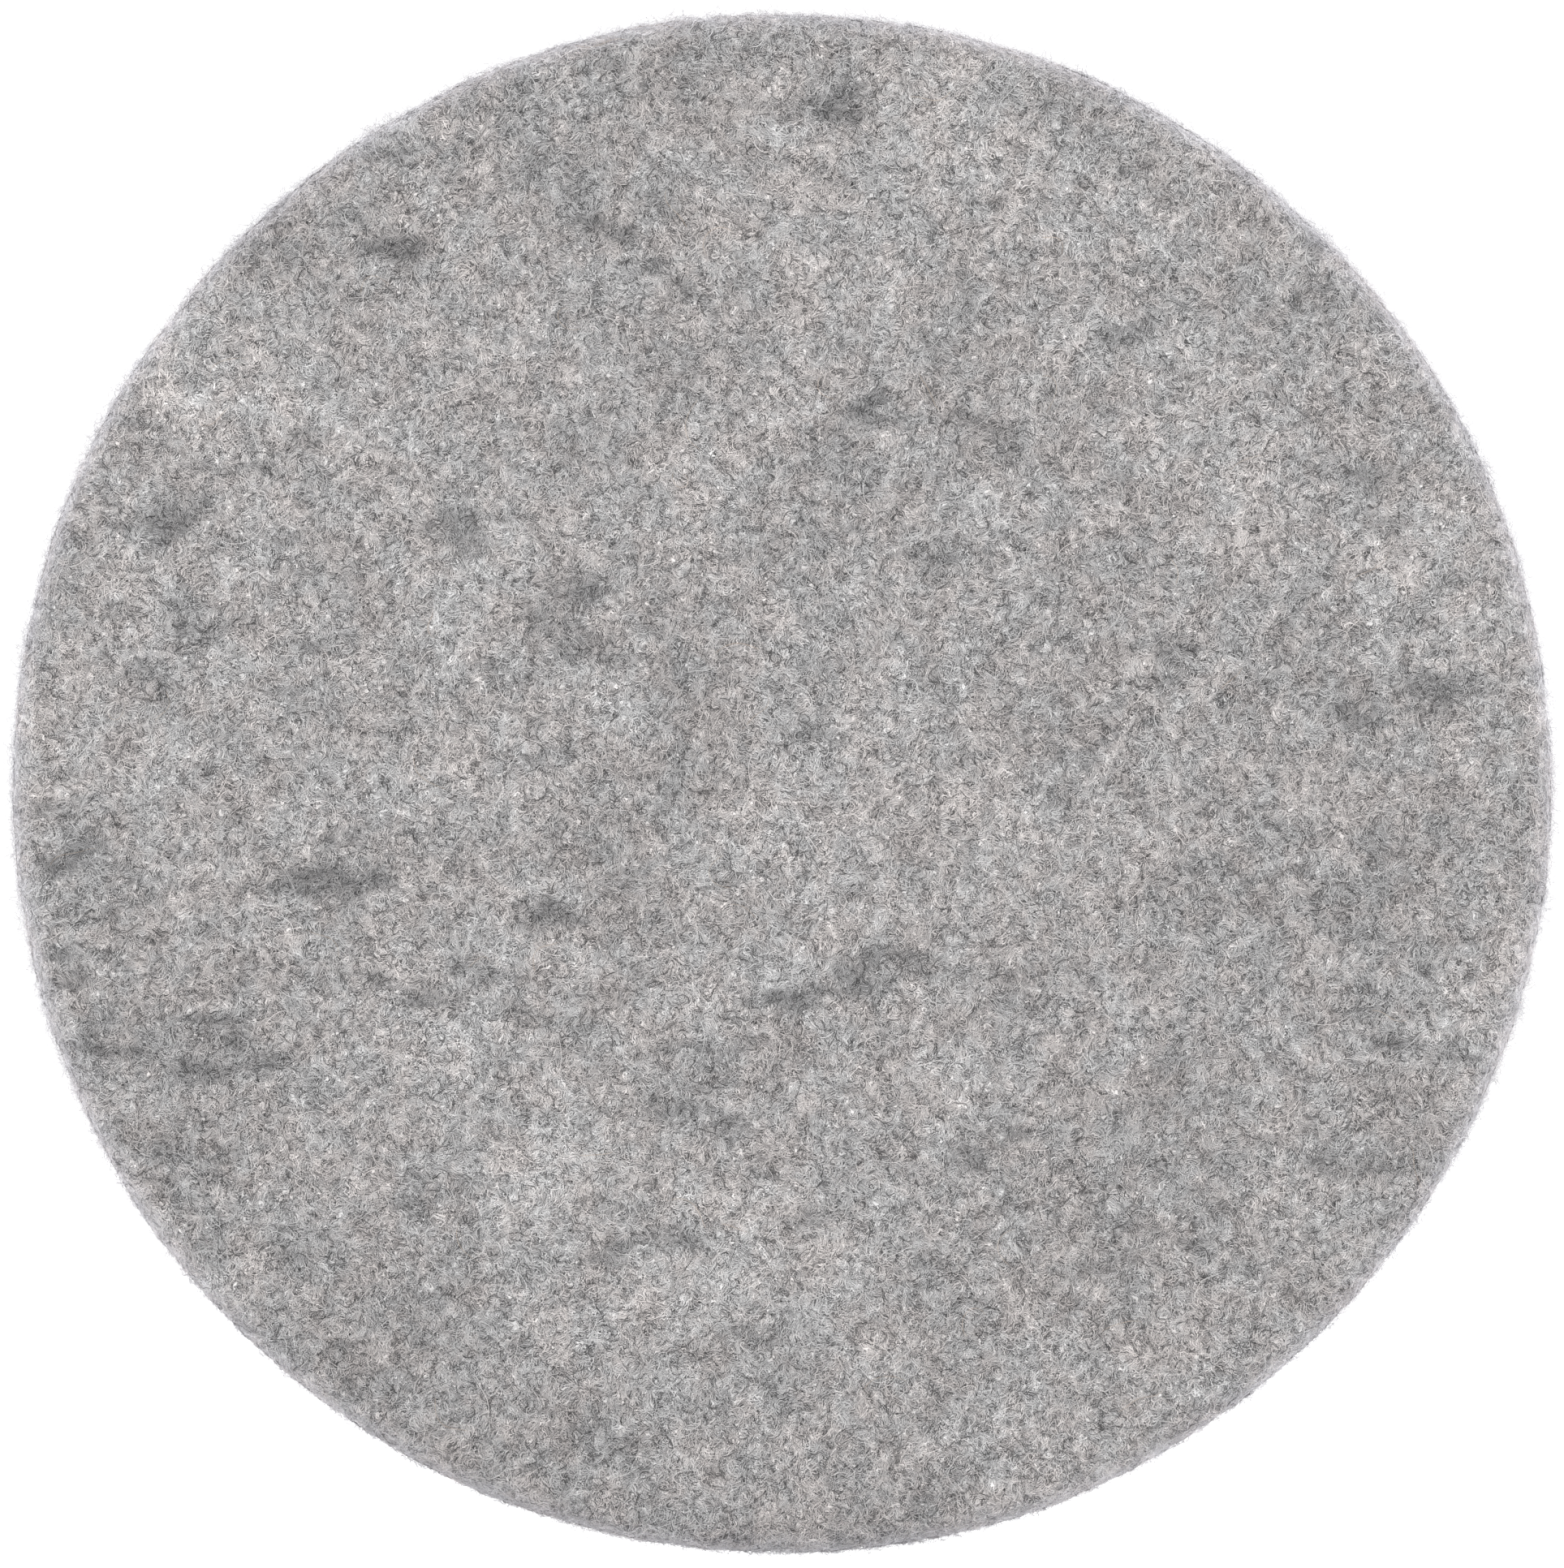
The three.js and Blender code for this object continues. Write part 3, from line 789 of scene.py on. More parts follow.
for part in range(FUZZ_PIECES):
    chosen = slice(part, None, FUZZ_PIECES)
    name = f"rim_fuzz_{part + 1}"
    mesh = tubes(name, fuzz_lines[chosen], fuzz_size[chosen], fuzz_shade[chosen])
    new_piece(name, mesh, rim_backlit_mat, "wheel")
print("rim fibres:", FUZZ_COUNT)

# %% [markdown]
# ## Shared effects for metal, rubber and tape
#
# The stack behind the felt is made on a lathe and handled every day. Four small groups tell that story:
# turning rings left by the tool, fine scratches, greasy smudges, and edges worn bright. A fifth draws the
# open cells of sponge rubber. Each works in the part's own space, so it follows a sliding screw.

# %% Turning rings
rings, given, out = new_group(
    "Turning rings",
    [("Vector", "vector", None), ("Rings per metre", "number", 2500.0), ("Waver", "number", 0.0001)],
    [("Height", "number"), ("Tone", "number")],
)
parts = add(rings, "SeparateXYZ", {0: given["Vector"]}).outputs
squares = sum_of(rings, "MULTIPLY_ADD", parts[0], parts[0], sum_of(rings, "MULTIPLY", parts[2], parts[2]))
reach = sum_of(rings, "SUBTRACT", sum_of(rings, "SQRT", squares), parts[1])
stray = add(rings, "TexNoise", {"Vector": given["Vector"], "Scale": 25.0, "Detail": 1.0}).outputs["Fac"]
reach = sum_of(rings, "MULTIPLY_ADD", stray, given["Waver"], reach)
ring_at = sum_of(rings, "MULTIPLY", reach, given["Rings per metre"])
fine = add(rings, "TexNoise", {"W": ring_at, "Scale": 1.0, "Detail": 2.0}, noise_dimensions="1D")
groove = fine.outputs["Fac"]
broad = add(rings, "TexNoise", {"W": ring_at, "Scale": 0.06, "Detail": 2.0}, noise_dimensions="1D")
band = broad.outputs["Fac"]
rings.links.new(ramp(rings, groove, 0.25, 0.75), out.inputs["Height"])
both = sum_of(rings, "MULTIPLY_ADD", groove, 0.4, sum_of(rings, "MULTIPLY", band, 0.6))
rings.links.new(ramp(rings, both, 0.3, 0.7), out.inputs["Tone"])

# %% Fine scratches
scratches, given, out = new_group(
    "Fine scratches",
    [("Vector", "vector", None), ("Per metre", "number", 2600.0), ("Amount", "number", 0.5)],
    [("Mask", "number")],
)
lines_seen = 0.0
least = sum_of(scratches, "MULTIPLY_ADD", given["Amount"], -0.16, 0.76)
for lean in ((0.3, 0.9, 0.2), (1.1, 2.3, 0.8), (2.2, 0.4, 1.9)):
    leaning = {"Vector": given["Vector"], "Rotation": lean}
    turned = add(scratches, "VectorRotate", leaning, rotation_type="EULER_XYZ")
    drawn = vector_of(scratches, "MULTIPLY", turned.outputs[0], (1.0, 0.035, 0.6))
    drawn_at = add(scratches, "TexNoise", {"Vector": drawn, "Scale": given["Per metre"], "Detail": 1.0})
    above = sum_of(scratches, "SUBTRACT", drawn_at.outputs["Fac"], least)
    lines_seen = sum_of(scratches, "MAXIMUM", ramp(scratches, above, 0.0, 0.05), lines_seen)
scratches.links.new(lines_seen, out.inputs["Mask"])

# %% Smudges
smudges, given, out = new_group(
    "Smudges",
    [("Vector", "vector", None), ("Per metre", "number", 60.0)],
    [("Mask", "number")],
)
film_look = {"Vector": given["Vector"], "Scale": given["Per metre"], "Detail": 5.0, "Distortion": 1.2}
film = add(smudges, "TexNoise", film_look)
smudges.links.new(ramp(smudges, film.outputs["Fac"], 0.38, 0.66), out.inputs["Mask"])

# %% Worn edges
worn, given, out = new_group(
    "Worn edges",
    [("Vector", "vector", None), ("Per metre", "number", 700.0), ("Reach", "number", 0.06)],
    [("Mask", "number")],
)
sharpness = add(worn, "NewGeometry").outputs["Pointiness"]
nicks = add(worn, "TexNoise", {"Vector": given["Vector"], "Scale": given["Per metre"], "Detail": 3.0})
sharper = sum_of(worn, "SUBTRACT", sharpness, 0.545)
edge = sum_of(worn, "MULTIPLY_ADD", nicks.outputs["Fac"], 0.05, sharper)
worn.links.new(ramp(worn, edge, 0.0, given["Reach"]), out.inputs["Mask"])
print("shared effects:", [group.name for group in (rings, scratches, smudges, worn)])

# %% Sponge cells
sponge_cells, given, out = new_group(
    "Sponge cells",
    [("Vector", "vector", None), ("Per metre", "number", 1600.0)],
    [("Height", "number"), ("Dust", "number")],
)
pits = 1.0
for times, floor_at in ((1.0, 0.55), (2.3, 0.5)):
    per_metre = sum_of(sponge_cells, "MULTIPLY", given["Per metre"], times)
    cell = add(sponge_cells, "TexVoronoi", {"Vector": given["Vector"], "Scale": per_metre})
    pit = ramp(sponge_cells, cell.outputs["Distance"], 0.05, floor_at, 0.35, 1.0)
    pits = sum_of(sponge_cells, "MULTIPLY", pits, pit)
fluff = add(sponge_cells, "TexNoise", {"Vector": given["Vector"], "Scale": 1500.0, "Detail": 4.0})
patch = add(sponge_cells, "TexNoise", {"Vector": given["Vector"], "Scale": 45.0, "Detail": 2.0})
dusty = sum_of(sponge_cells, "MULTIPLY_ADD", patch.outputs["Fac"], 0.35, fluff.outputs["Fac"])
speck = ramp(sponge_cells, dusty, 0.80, 0.94)
sponge_cells.links.new(pits, out.inputs["Height"])
sponge_cells.links.new(sum_of(sponge_cells, "MULTIPLY", speck, pits), out.inputs["Dust"])

# %% [markdown]
# ## Metals
#
# The metal parts differ in the same few ways: their two tones, their gloss, the pitch of their turning
# rings, their scratches and how far their corners are worn. One helper makes all four from those numbers,
# so each keeps its own character while the wear looks as if it came from the same workshop.


# %% Metals
def metal(name, dull, bright, smooth, rough, rings_per_metre, ring_depth, scratch_amount, bare, wear):
    """A worked metal: turning rings, scratches and smudges over two tones, with edges worn to bare metal."""
    material, tree, shader = new_material(name)
    here = add(tree, "TexCoord").outputs["Object"]
    ring = place(tree, rings, {"Vector": here, "Rings per metre": rings_per_metre})
    scratch = place(tree, scratches, {"Vector": here, "Amount": scratch_amount})["Mask"]
    smudge = place(tree, smudges, {"Vector": here})["Mask"]
    edge = place(tree, worn, {"Vector": here})["Mask"]
    tone = sum_of(tree, "MULTIPLY_ADD", ring["Tone"], 0.72, sum_of(tree, "MULTIPLY", smudge, 0.28))
    colour = mix(tree, tone, dull, bright)
    colour = mix(tree, sum_of(tree, "MULTIPLY", scratch, 0.5), colour, bare)
    colour = mix(tree, sum_of(tree, "MULTIPLY", edge, wear), colour, bare)
    tree.links.new(colour, shader.inputs["Base Color"])
    gloss = sum_of(tree, "MULTIPLY_ADD", scratch, 0.12, ramp(tree, smudge, 0.0, 1.0, smooth, rough))
    tree.links.new(sum_of(tree, "MULTIPLY_ADD", ring["Tone"], 0.06, gloss), shader.inputs["Roughness"])
    height = sum_of(tree, "MULTIPLY_ADD", scratch, -0.5, ring["Height"])
    bump = add(tree, "Bump", {"Height": height, "Strength": 0.7, "Distance": ring_depth})
    tree.links.new(bump.outputs[0], shader.inputs["Normal"])
    shader.inputs["Metallic"].default_value = 1.0
    return material


aluminium_mat = metal(
    "turned_aluminium", dull=tint(158, 160, 164), bright=tint(190, 192, 195), smooth=0.32, rough=0.46,
    rings_per_metre=1500.0, ring_depth=0.05 * MM, scratch_amount=0.40, bare=tint(222, 223, 225), wear=0.5,
)
steel_mat = metal(
    "oiled_steel", dull=tint(138, 137, 136), bright=tint(170, 168, 165), smooth=0.22, rough=0.38,
    rings_per_metre=2600.0, ring_depth=0.02 * MM, scratch_amount=0.35, bare=tint(206, 205, 203), wear=0.6,
)
zinc_mat = metal(
    "bright_zinc", dull=tint(160, 168, 178), bright=tint(192, 194, 188), smooth=0.18, rough=0.34,
    rings_per_metre=5200.0, ring_depth=0.006 * MM, scratch_amount=0.30, bare=tint(216, 217, 218), wear=0.4,
)
black_mat = metal(
    "black_oxide", dull=tint(44, 44, 48), bright=tint(66, 65, 66), smooth=0.30, rough=0.46,
    rings_per_metre=6000.0, ring_depth=0.006 * MM, scratch_amount=0.35, bare=tint(140, 138, 136), wear=0.75,
)
print("metals:", [m.name for m in (aluminium_mat, steel_mat, zinc_mat, black_mat)])

# %% [markdown]
# ## Sponge rubber and tape
#
# The cushion's cut edge is black and full of tiny cells, with grinding dust caught in them. The tape
# shows only as a thin amber line. Cells this small would cost too many faces, so they are bump and
# colour: the pits are painted near black, as painted shade inside the cells. The tape borrows the same
# group for the lint stuck to its edge.

# %% Sponge rubber
rubber_mat, tree, shader = new_material("sponge_rubber")
here = add(tree, "TexCoord").outputs["Object"]
sponge = place(tree, sponge_cells, {"Vector": here})
smudge = place(tree, smudges, {"Vector": here, "Per metre": 80.0})["Mask"]
colour = mix(tree, smudge, tint(34, 34, 36), tint(54, 53, 54))
# The pits are painted near black: painted shade inside the sponge's cells.
colour = mix(tree, sum_of(tree, "SUBTRACT", 1.0, sponge["Height"]), colour, tint(16, 16, 17))
colour = mix(tree, sum_of(tree, "MULTIPLY", sponge["Dust"], 0.5), colour, tint(128, 126, 125))
tree.links.new(colour, shader.inputs["Base Color"])
tree.links.new(ramp(tree, sponge["Height"], 0.0, 1.0, 0.95, 0.72), shader.inputs["Roughness"])
print("sponge rubber, nodes:", len(tree.nodes))
bump = add(tree, "Bump", {"Height": sponge["Height"], "Strength": 0.8, "Distance": 0.15 * MM})
tree.links.new(bump.outputs[0], shader.inputs["Normal"])

# %% Amber tape
tape_mat, tree, shader = new_material("amber_tape")
here = add(tree, "TexCoord").outputs["Object"]
smudge = place(tree, smudges, {"Vector": here, "Per metre": 150.0})["Mask"]
lint = place(tree, sponge_cells, {"Vector": here, "Per metre": 2400.0})["Dust"]
colour = mix(tree, smudge, tint(196, 168, 112), tint(222, 200, 152))
colour = mix(tree, lint, colour, tint(168, 166, 164))
tree.links.new(colour, shader.inputs["Base Color"])
tree.links.new(ramp(tree, smudge, 0.0, 1.0, 0.34, 0.55), shader.inputs["Roughness"])
bump = add(tree, "Bump", {"Height": smudge, "Strength": 0.3, "Distance": 0.05 * MM})
tree.links.new(bump.outputs[0], shader.inputs["Normal"])
print("amber tape, nodes:", len(tree.nodes))

# %% [markdown]
# ## Tapes and cushion
#
# Two sheets of double-sided tape hold the felt to a sheet of closed-cell sponge rubber, and that to the
# plate. Both are cut by hand, so their edges wander by tenths of a millimetre, and the sponge bulges a
# little where the stack squeezes it.


# %% Tapes and cushion
def soft_disc(name, radius, low, high, edge_round, bulge, wander, pitted, segments):
    """A closed disc with rounded edges, a bulging side and a random wander of its edge."""
    half = (high - low) / 2
    profile = [(0, low), (radius * 0.5, low), (radius * 0.9, low)]
    profile += arc_points((radius - edge_round, low + edge_round), edge_round, -90, 0, 5)
    profile += [(radius, low + edge_round + (2 * half - 2 * edge_round) * i / 14) for i in range(1, 14)]
    profile += arc_points((radius - edge_round, high - edge_round), edge_round, 0, 90, 5)
    profile += [(radius * 0.9, high), (radius * 0.5, high), (0, high)]
    mesh = turned_mesh(name, profile, segments)
    at = places_of(mesh)
    reach_now = np.hypot(at[:, 0], at[:, 2])
    outer = np.clip((reach_now - 0.93 * radius) / (0.07 * radius), 0, 1)
    middle = 1 - ((at[:, 1] - low - half) / half) ** 2
    shift = bulge * middle + wander * ripples(at, 22 * MM, 31)
    shift += pitted * ripples(at, 1.6 * MM, 32, 40) * middle
    grow = 1 + outer * shift / radius
    at[:, 0] *= grow
    at[:, 2] *= grow
    mesh.vertices.foreach_set("co", at.ravel())
    mesh.shade_smooth()
    return mesh


disc_rows = (
    # node, slot, material, radius, edge round, bulge, wander, pits, segments
    ("cushion", "rubber", rubber_mat, 95.5 * MM, 0.8 * MM, 0.30 * MM, 0.12 * MM, 0.05 * MM, 900),
    ("felt_tape", "tape", tape_mat, 94.0 * MM, 0.1 * MM, 0.05 * MM, 0.15 * MM, 0.0, 480),
    ("cushion_tape", "tape", tape_mat, 94.0 * MM, 0.1 * MM, 0.05 * MM, 0.15 * MM, 0.0, 480),
)
for node, slot, material, radius, edge_round, bulge, wander_by, pitted, segments in disc_rows:
    low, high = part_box(node)
    mesh = soft_disc(node + "_shown", radius, low.y, high.y, edge_round, bulge, wander_by, pitted, segments)
    disc = new_piece(node + "_shown", mesh, material, "wheel", [node])
print("soft discs:", len(disc_rows))

# %% [markdown]
# ## Backing plate and hub
#
# Both are lathe work, so a finely turned profile gives them true round edges with small broken corners.
# The screw holes and the tapped holes are then cut through, as a drill would cut them.


# %% Cutting helpers
def eased(points, size):
    """Breaks a profile's marked corners. Points are (radius, y, break?) and each corner gets three points."""
    done = []
    for i, point in enumerate(points):
        if len(point) < 3:
            done.append(point)
            continue
        here = np.array(point[:2])
        for other in (points[i - 1], points[(i + 1) % len(points)]):
            away = np.array(other[:2]) - here
            done.append(tuple(here + away / np.linalg.norm(away) * size))
        middle = (np.array(done[-1]) + np.array(done[-2])) / 2
        done.insert(-1, tuple(middle + (here - middle) * 0.4))
    return done


def as_object(mesh):
    """A helper object for cutting. It is removed afterwards."""
    made = bpy.data.objects.new(mesh.name, mesh)
    scene.collection.objects.link(made)
    return made


def cut_away(mesh, cutters):
    """The mesh with the cutters' meshes taken out of it."""
    blank = as_object(mesh)
    tools = [as_object(cutter) for cutter in cutters]
    for tool in tools:
        cut = blank.modifiers.new("cut", "BOOLEAN")
        cut.object = tool
        cut.solver = "EXACT"
    result = bpy.data.meshes.new_from_object(blank.evaluated_get(bpy.context.evaluated_depsgraph_get()))
    result.name = mesh.name
    for made in [blank, *tools]:
        bpy.data.objects.remove(made)
    return result


def crisp(mesh, degrees=28):
    """Smooth shading that stops at corners sharper than the angle."""
    mesh.shade_smooth()
    mesh.set_sharp_from_angle(angle=math.radians(degrees))
    return mesh


def moved_mesh(mesh, matrix):
    """Moves a mesh's points by a matrix."""
    mesh.transform(matrix)
    return mesh

# %% [markdown]
# ## Where things sit along the axis
#
# On a lathe, a part is described by its stations: where each shoulder comes along the axis, and its
# radius there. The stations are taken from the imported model's boxes where those show them, so the finer
# parts land exactly where the plain ones were.

# %% Stations along the axis
hub_low, hub_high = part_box("hub")
plate_low, plate_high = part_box("backing_plate")
PLATE_RADIUS = (plate_high.x - plate_low.x) / 2
PLATE_CORNER = 0.6 * MM
LIP_WIDTH = 5 * MM
LIP_HEIGHT = 3 * MM
plate_rear = hub_low.y  # where the hub's flange sits on the plate
lip_rear = plate_high.y
FLANGE_RADIUS = 33 * MM
FLANGE_THICKNESS = 6 * MM
BOSS_RADIUS = 17 * MM
BOSS_FILLET = 3 * MM
HUB_CORNER = 1 * MM
BORE_RADIUS = 7.9625 * MM
BORE_MOUTH = 0.8 * MM
THROUGH_RADIUS = 2.75 * MM
TAPPED_RADIUS = 3.15 * MM  # clear of the set screw's thread, which slides
TAPPED_MOUTH_RADIUS = 3.75 * MM
CORNER_BREAK = 0.12 * MM
CUT_MARGIN = 2 * MM  # how far a cutter runs on past the face that it cuts
flange_rear = hub_low.y + FLANGE_THICKNESS
hub_rear = hub_high.y
SCREW_CIRCLE_RADIUS = 25 * MM
SCREW_ANGLES = [math.radians(45 + 90 * i) for i in range(4)]
screw_places = [(SCREW_CIRCLE_RADIUS * math.cos(a), SCREW_CIRCLE_RADIUS * math.sin(a)) for a in SCREW_ANGLES]
print("stations, mm:", [round(y / MM, 2) for y in (plate_low.y, plate_rear, flange_rear, hub_rear)])


def hole_cutters(name, profile):
    """One turned cutter at each screw place."""
    made = []
    for x, z in screw_places:
        made.append(moved_mesh(turned_mesh(name, profile, 64), Matrix.Translation((x, 0, z))))
    return made


# %% Backing plate
lip_inner = PLATE_RADIUS - LIP_WIDTH
plate_profile = [
    (0, plate_low.y),
    (PLATE_RADIUS - PLATE_CORNER, plate_low.y, True),
    (PLATE_RADIUS, plate_low.y + PLATE_CORNER, True),
    (PLATE_RADIUS, lip_rear - PLATE_CORNER, True),
    (PLATE_RADIUS - PLATE_CORNER, lip_rear, True),
    (lip_inner, lip_rear, True),
    *arc_points((lip_inner - LIP_HEIGHT, lip_rear), LIP_HEIGHT, 0, -90, 20)[1:],
    (0, plate_rear),
]
COUNTERSINK_DEPTH = 2.7 * MM
SINK_RADIUS_AHEAD = 7.45 * MM  # the 90 degree cone's radius where the cutter starts, ahead of the plate
hole = [(0, plate_low.y - CUT_MARGIN), (SINK_RADIUS_AHEAD, plate_low.y - CUT_MARGIN)]
hole += [(THROUGH_RADIUS, plate_low.y + COUNTERSINK_DEPTH), (THROUGH_RADIUS, plate_rear + CUT_MARGIN)]
hole += [(0, plate_rear + CUT_MARGIN)]
plate_blank = turned_mesh("plate", eased(plate_profile, CORNER_BREAK), 360)
plate_mesh = cut_away(plate_blank, hole_cutters("hole", hole))
new_piece("plate", crisp(plate_mesh), aluminium_mat, "wheel", ["backing_plate"])
print("plate faces:", len(plate_mesh.polygons))

# %% [markdown]
# ## The hub
#
# The hub is a steel flange and a boss, with a fillet between them that keeps the corner from cracking.
# Its bore takes the arbor, and two tapped holes at right angles take the set screws. Their threads are
# left out of the holes and shown on the screws, because a sliding screw would cut through modelled
# threads.

# %% Hub
hub_profile = [
    (BORE_RADIUS, hub_low.y),
    (FLANGE_RADIUS - HUB_CORNER, hub_low.y, True),
    (FLANGE_RADIUS, hub_low.y + HUB_CORNER, True),
    (FLANGE_RADIUS, flange_rear - HUB_CORNER, True),
    (FLANGE_RADIUS - HUB_CORNER, flange_rear, True),
    *arc_points((BOSS_RADIUS + BOSS_FILLET, flange_rear + BOSS_FILLET), BOSS_FILLET, 270, 180, 16),
    (BOSS_RADIUS, hub_rear - HUB_CORNER, True),
    (BOSS_RADIUS - HUB_CORNER, hub_rear, True),
    (BORE_RADIUS + BORE_MOUTH, hub_rear, True),
    (BORE_RADIUS, hub_rear - BORE_MOUTH, True),
]
through = [(0, hub_low.y - CUT_MARGIN), (THROUGH_RADIUS, hub_low.y - CUT_MARGIN)]
through += [(THROUGH_RADIUS, flange_rear + CUT_MARGIN), (0, flange_rear + CUT_MARGIN)]
tapped = [(0, 4 * MM), (TAPPED_RADIUS, 4 * MM), (TAPPED_RADIUS, 16.3 * MM)]
tapped += [(TAPPED_MOUTH_RADIUS, 17.1 * MM), (TAPPED_MOUTH_RADIUS, 19 * MM), (0, 19 * MM)]
set_screw_at = (hub_rear + flange_rear) / 2
to_top = Matrix.Translation((0, set_screw_at, 0)) @ Matrix.Rotation(math.pi / 2, 4, "X")
to_side = Matrix.Translation((0, set_screw_at, 0)) @ Matrix.Rotation(-math.pi / 2, 4, "Z")
cutters = hole_cutters("hole", through)
cutters += [moved_mesh(turned_mesh("tapped", tapped, 64), turn) for turn in (to_top, to_side)]
hub_mesh = cut_away(turned_mesh("hub_body", eased(hub_profile, CORNER_BREAK), 240), cutters)
new_piece("hub_body", crisp(hub_mesh), steel_mat, "wheel", ["hub"])
print("hub faces:", len(hub_mesh.polygons))

# %% [markdown]
# ## Screws, washers and nuts
#
# A screw is a turned profile whose radius changes with the angle: a thread's radius follows a helix, and
# a socket's follows a hexagon. The turning helper takes such functions in place of numbers, so each
# fastener is one closed mesh, drawn once about its own axis and then set at its station.


# %% Fastener shapes
def hex_radius(flats):
    """The radius of a hexagon of this size across flats, as a function of the angle."""

    def radius(angle):
        from_flat = (angle + math.pi / 6) % (math.pi / 3) - math.pi / 6
        return flats / 2 / math.cos(from_flat)

    return radius


def thread_rows(major, pitch, start, stop, run_out=0.0):
    """Rows of a right-hand thread from start to stop. The crest is flat and the root is rounded."""
    depth = 0.6 * pitch
    rows = []
    count = max(2, round((stop - start) / (pitch / 10)))
    for i in range(count + 1):
        along = start + (stop - start) * i / count

        def radius(angle, along=along):
            phase = (along / pitch + angle / (2 * math.pi)) % 1
            flank = min(abs(phase - 0.5) / 0.42, 1.0)
            fade = min(1.0, (along - start) / run_out) if run_out else 1.0
            return major - depth * fade * (1 - flank**1.2)

        rows.append((radius, along))
    return rows


def socket_rows(flats, mouth_round, top, deep, tip):
    """Rows of a hexagon socket, from its mouth down to a drilled point."""
    hexagon = hex_radius(flats)
    below_mouth = top + math.copysign(mouth_round, deep - top)
    rows = [(lambda a: hexagon(a) + mouth_round, top), (hexagon, below_mouth)]
    rows += [(hexagon, deep), (0, tip)]
    return rows


# %% Flange screws
HEAD_RADIUS = 5 * MM
SCREW_RADIUS = 2.5 * MM
SCREW_LENGTH = 16 * MM
screw_profile = [
    (HEAD_RADIUS - 0.08 * MM, 0),
    (HEAD_RADIUS, 0.08 * MM),
    (HEAD_RADIUS, 0.3 * MM),
    (SCREW_RADIUS, 2.8 * MM),
    *thread_rows(SCREW_RADIUS, 0.8 * MM, 3.2 * MM, SCREW_LENGTH - 0.6 * MM, 0.8 * MM),
    (SCREW_RADIUS - 0.58 * MM, SCREW_LENGTH - 0.05 * MM),
    (SCREW_RADIUS - 0.70 * MM, SCREW_LENGTH),
    (0, SCREW_LENGTH),
    *socket_rows(3 * MM, 0.1 * MM, 0, 1.8 * MM, 2.3 * MM)[::-1],
]
screw_mesh = crisp(turned_mesh("flange_screw", screw_profile, 48))
print("screw faces:", len(screw_mesh.polygons))

# %% [markdown]
# ## Lock washers and nuts
#
# A split washer is a ring with a gap, so it is turned like everything else and left open. A nut is a
# hexagon whose corners are turned away at both ends: there the height of each corner depends on the
# radius, which draws the curved edges that a real chamfer leaves.

# %% Lock washers and nuts
WASHER_THICKNESS = 1.2 * MM
WASHER_SPLIT = 0.9 * MM
washer_profile = [(2.7 * MM, 0.1 * MM), (2.8 * MM, 0), (4.5 * MM, 0), (4.6 * MM, 0.1 * MM)]
washer_profile += [(4.6 * MM, 1.1 * MM), (4.5 * MM, WASHER_THICKNESS)]
washer_profile += [(2.8 * MM, WASHER_THICKNESS), (2.7 * MM, 1.1 * MM)]
washer_mesh = crisp(turned_mesh("lock_washer", washer_profile, 72, gap=WASHER_SPLIT))

NUT_FLATS = 8 * MM
nut_side = hex_radius(NUT_FLATS)
nut_profile = [
    (2.62 * MM, 0.35 * MM),
    (2.95 * MM, 0),
    (NUT_FLATS / 2 - 0.15 * MM, 0),
    (lambda a: nut_side(a) - 0.03 * MM, lambda a: 0.04 * MM + (nut_side(a) - NUT_FLATS / 2) / 2),
    (nut_side, lambda a: 0.10 * MM + (nut_side(a) - NUT_FLATS / 2) / 2),
    (nut_side, lambda a: 3.90 * MM - (nut_side(a) - NUT_FLATS / 2) / 2),
    (lambda a: nut_side(a) - 0.03 * MM, lambda a: 3.96 * MM - (nut_side(a) - NUT_FLATS / 2) / 2),
    (NUT_FLATS / 2 - 0.15 * MM, 4 * MM),
    (2.95 * MM, 4 * MM),
    (2.62 * MM, 3.65 * MM),
]
nut_mesh = crisp(turned_mesh("flange_nut", nut_profile, 72))

for i, (x, z) in enumerate(screw_places, start=1):
    stack = (
        ("screw", "flange_screw", screw_mesh, plate_low.y, 0.4 + 1.3 * i),
        ("washer", "lock_washer", washer_mesh, flange_rear, 0.0),
        ("nut", "flange_nut", nut_mesh, flange_rear + WASHER_THICKNESS, 0.0),
    )
    for label, node, mesh, station, turn in stack:
        turn_by = Matrix.Translation((x, station, z)) @ Matrix.Rotation(turn, 4, "Y")
        new_piece(f"{label}_{i}", mesh, zinc_mat, "wheel", [f"{node}_{i}"], turn_by)
print("washer faces:", len(washer_mesh.polygons), "nut faces:", len(nut_mesh.polygons))

# %% [markdown]
# ## Set screws
#
# A set screw has no head: a thread from end to end, a hexagon socket at the outer end and a hollow cup
# that bites into the arbor. Both screws are one mesh, set at right angles, and each rides on its own body
# so that it can slide.

# %% Set screws
SET_RADIUS = 3 * MM
SET_LENGTH = 8 * MM
TIP_INSET = 0.26 * MM  # at rest the cup point is held back this far from the bore
set_tip = BORE_RADIUS + TIP_INSET
set_profile = [
    (0, 0.6 * MM),
    (1.32 * MM, 0.05 * MM),
    (1.40 * MM, 0),
    (1.50 * MM, 0.08 * MM),
    (2.35 * MM, 0.95 * MM),
    *thread_rows(SET_RADIUS, 1.0 * MM, 1.6 * MM, SET_LENGTH - 0.5 * MM),
    (SET_RADIUS - 0.48 * MM, SET_LENGTH - 0.03 * MM),
    (SET_RADIUS - 0.60 * MM, SET_LENGTH),
    *socket_rows(3 * MM, 0.12 * MM, SET_LENGTH, SET_LENGTH - 3.5 * MM, SET_LENGTH - 4.1 * MM),
]
set_mesh = crisp(turned_mesh("set_screw", set_profile, 60))
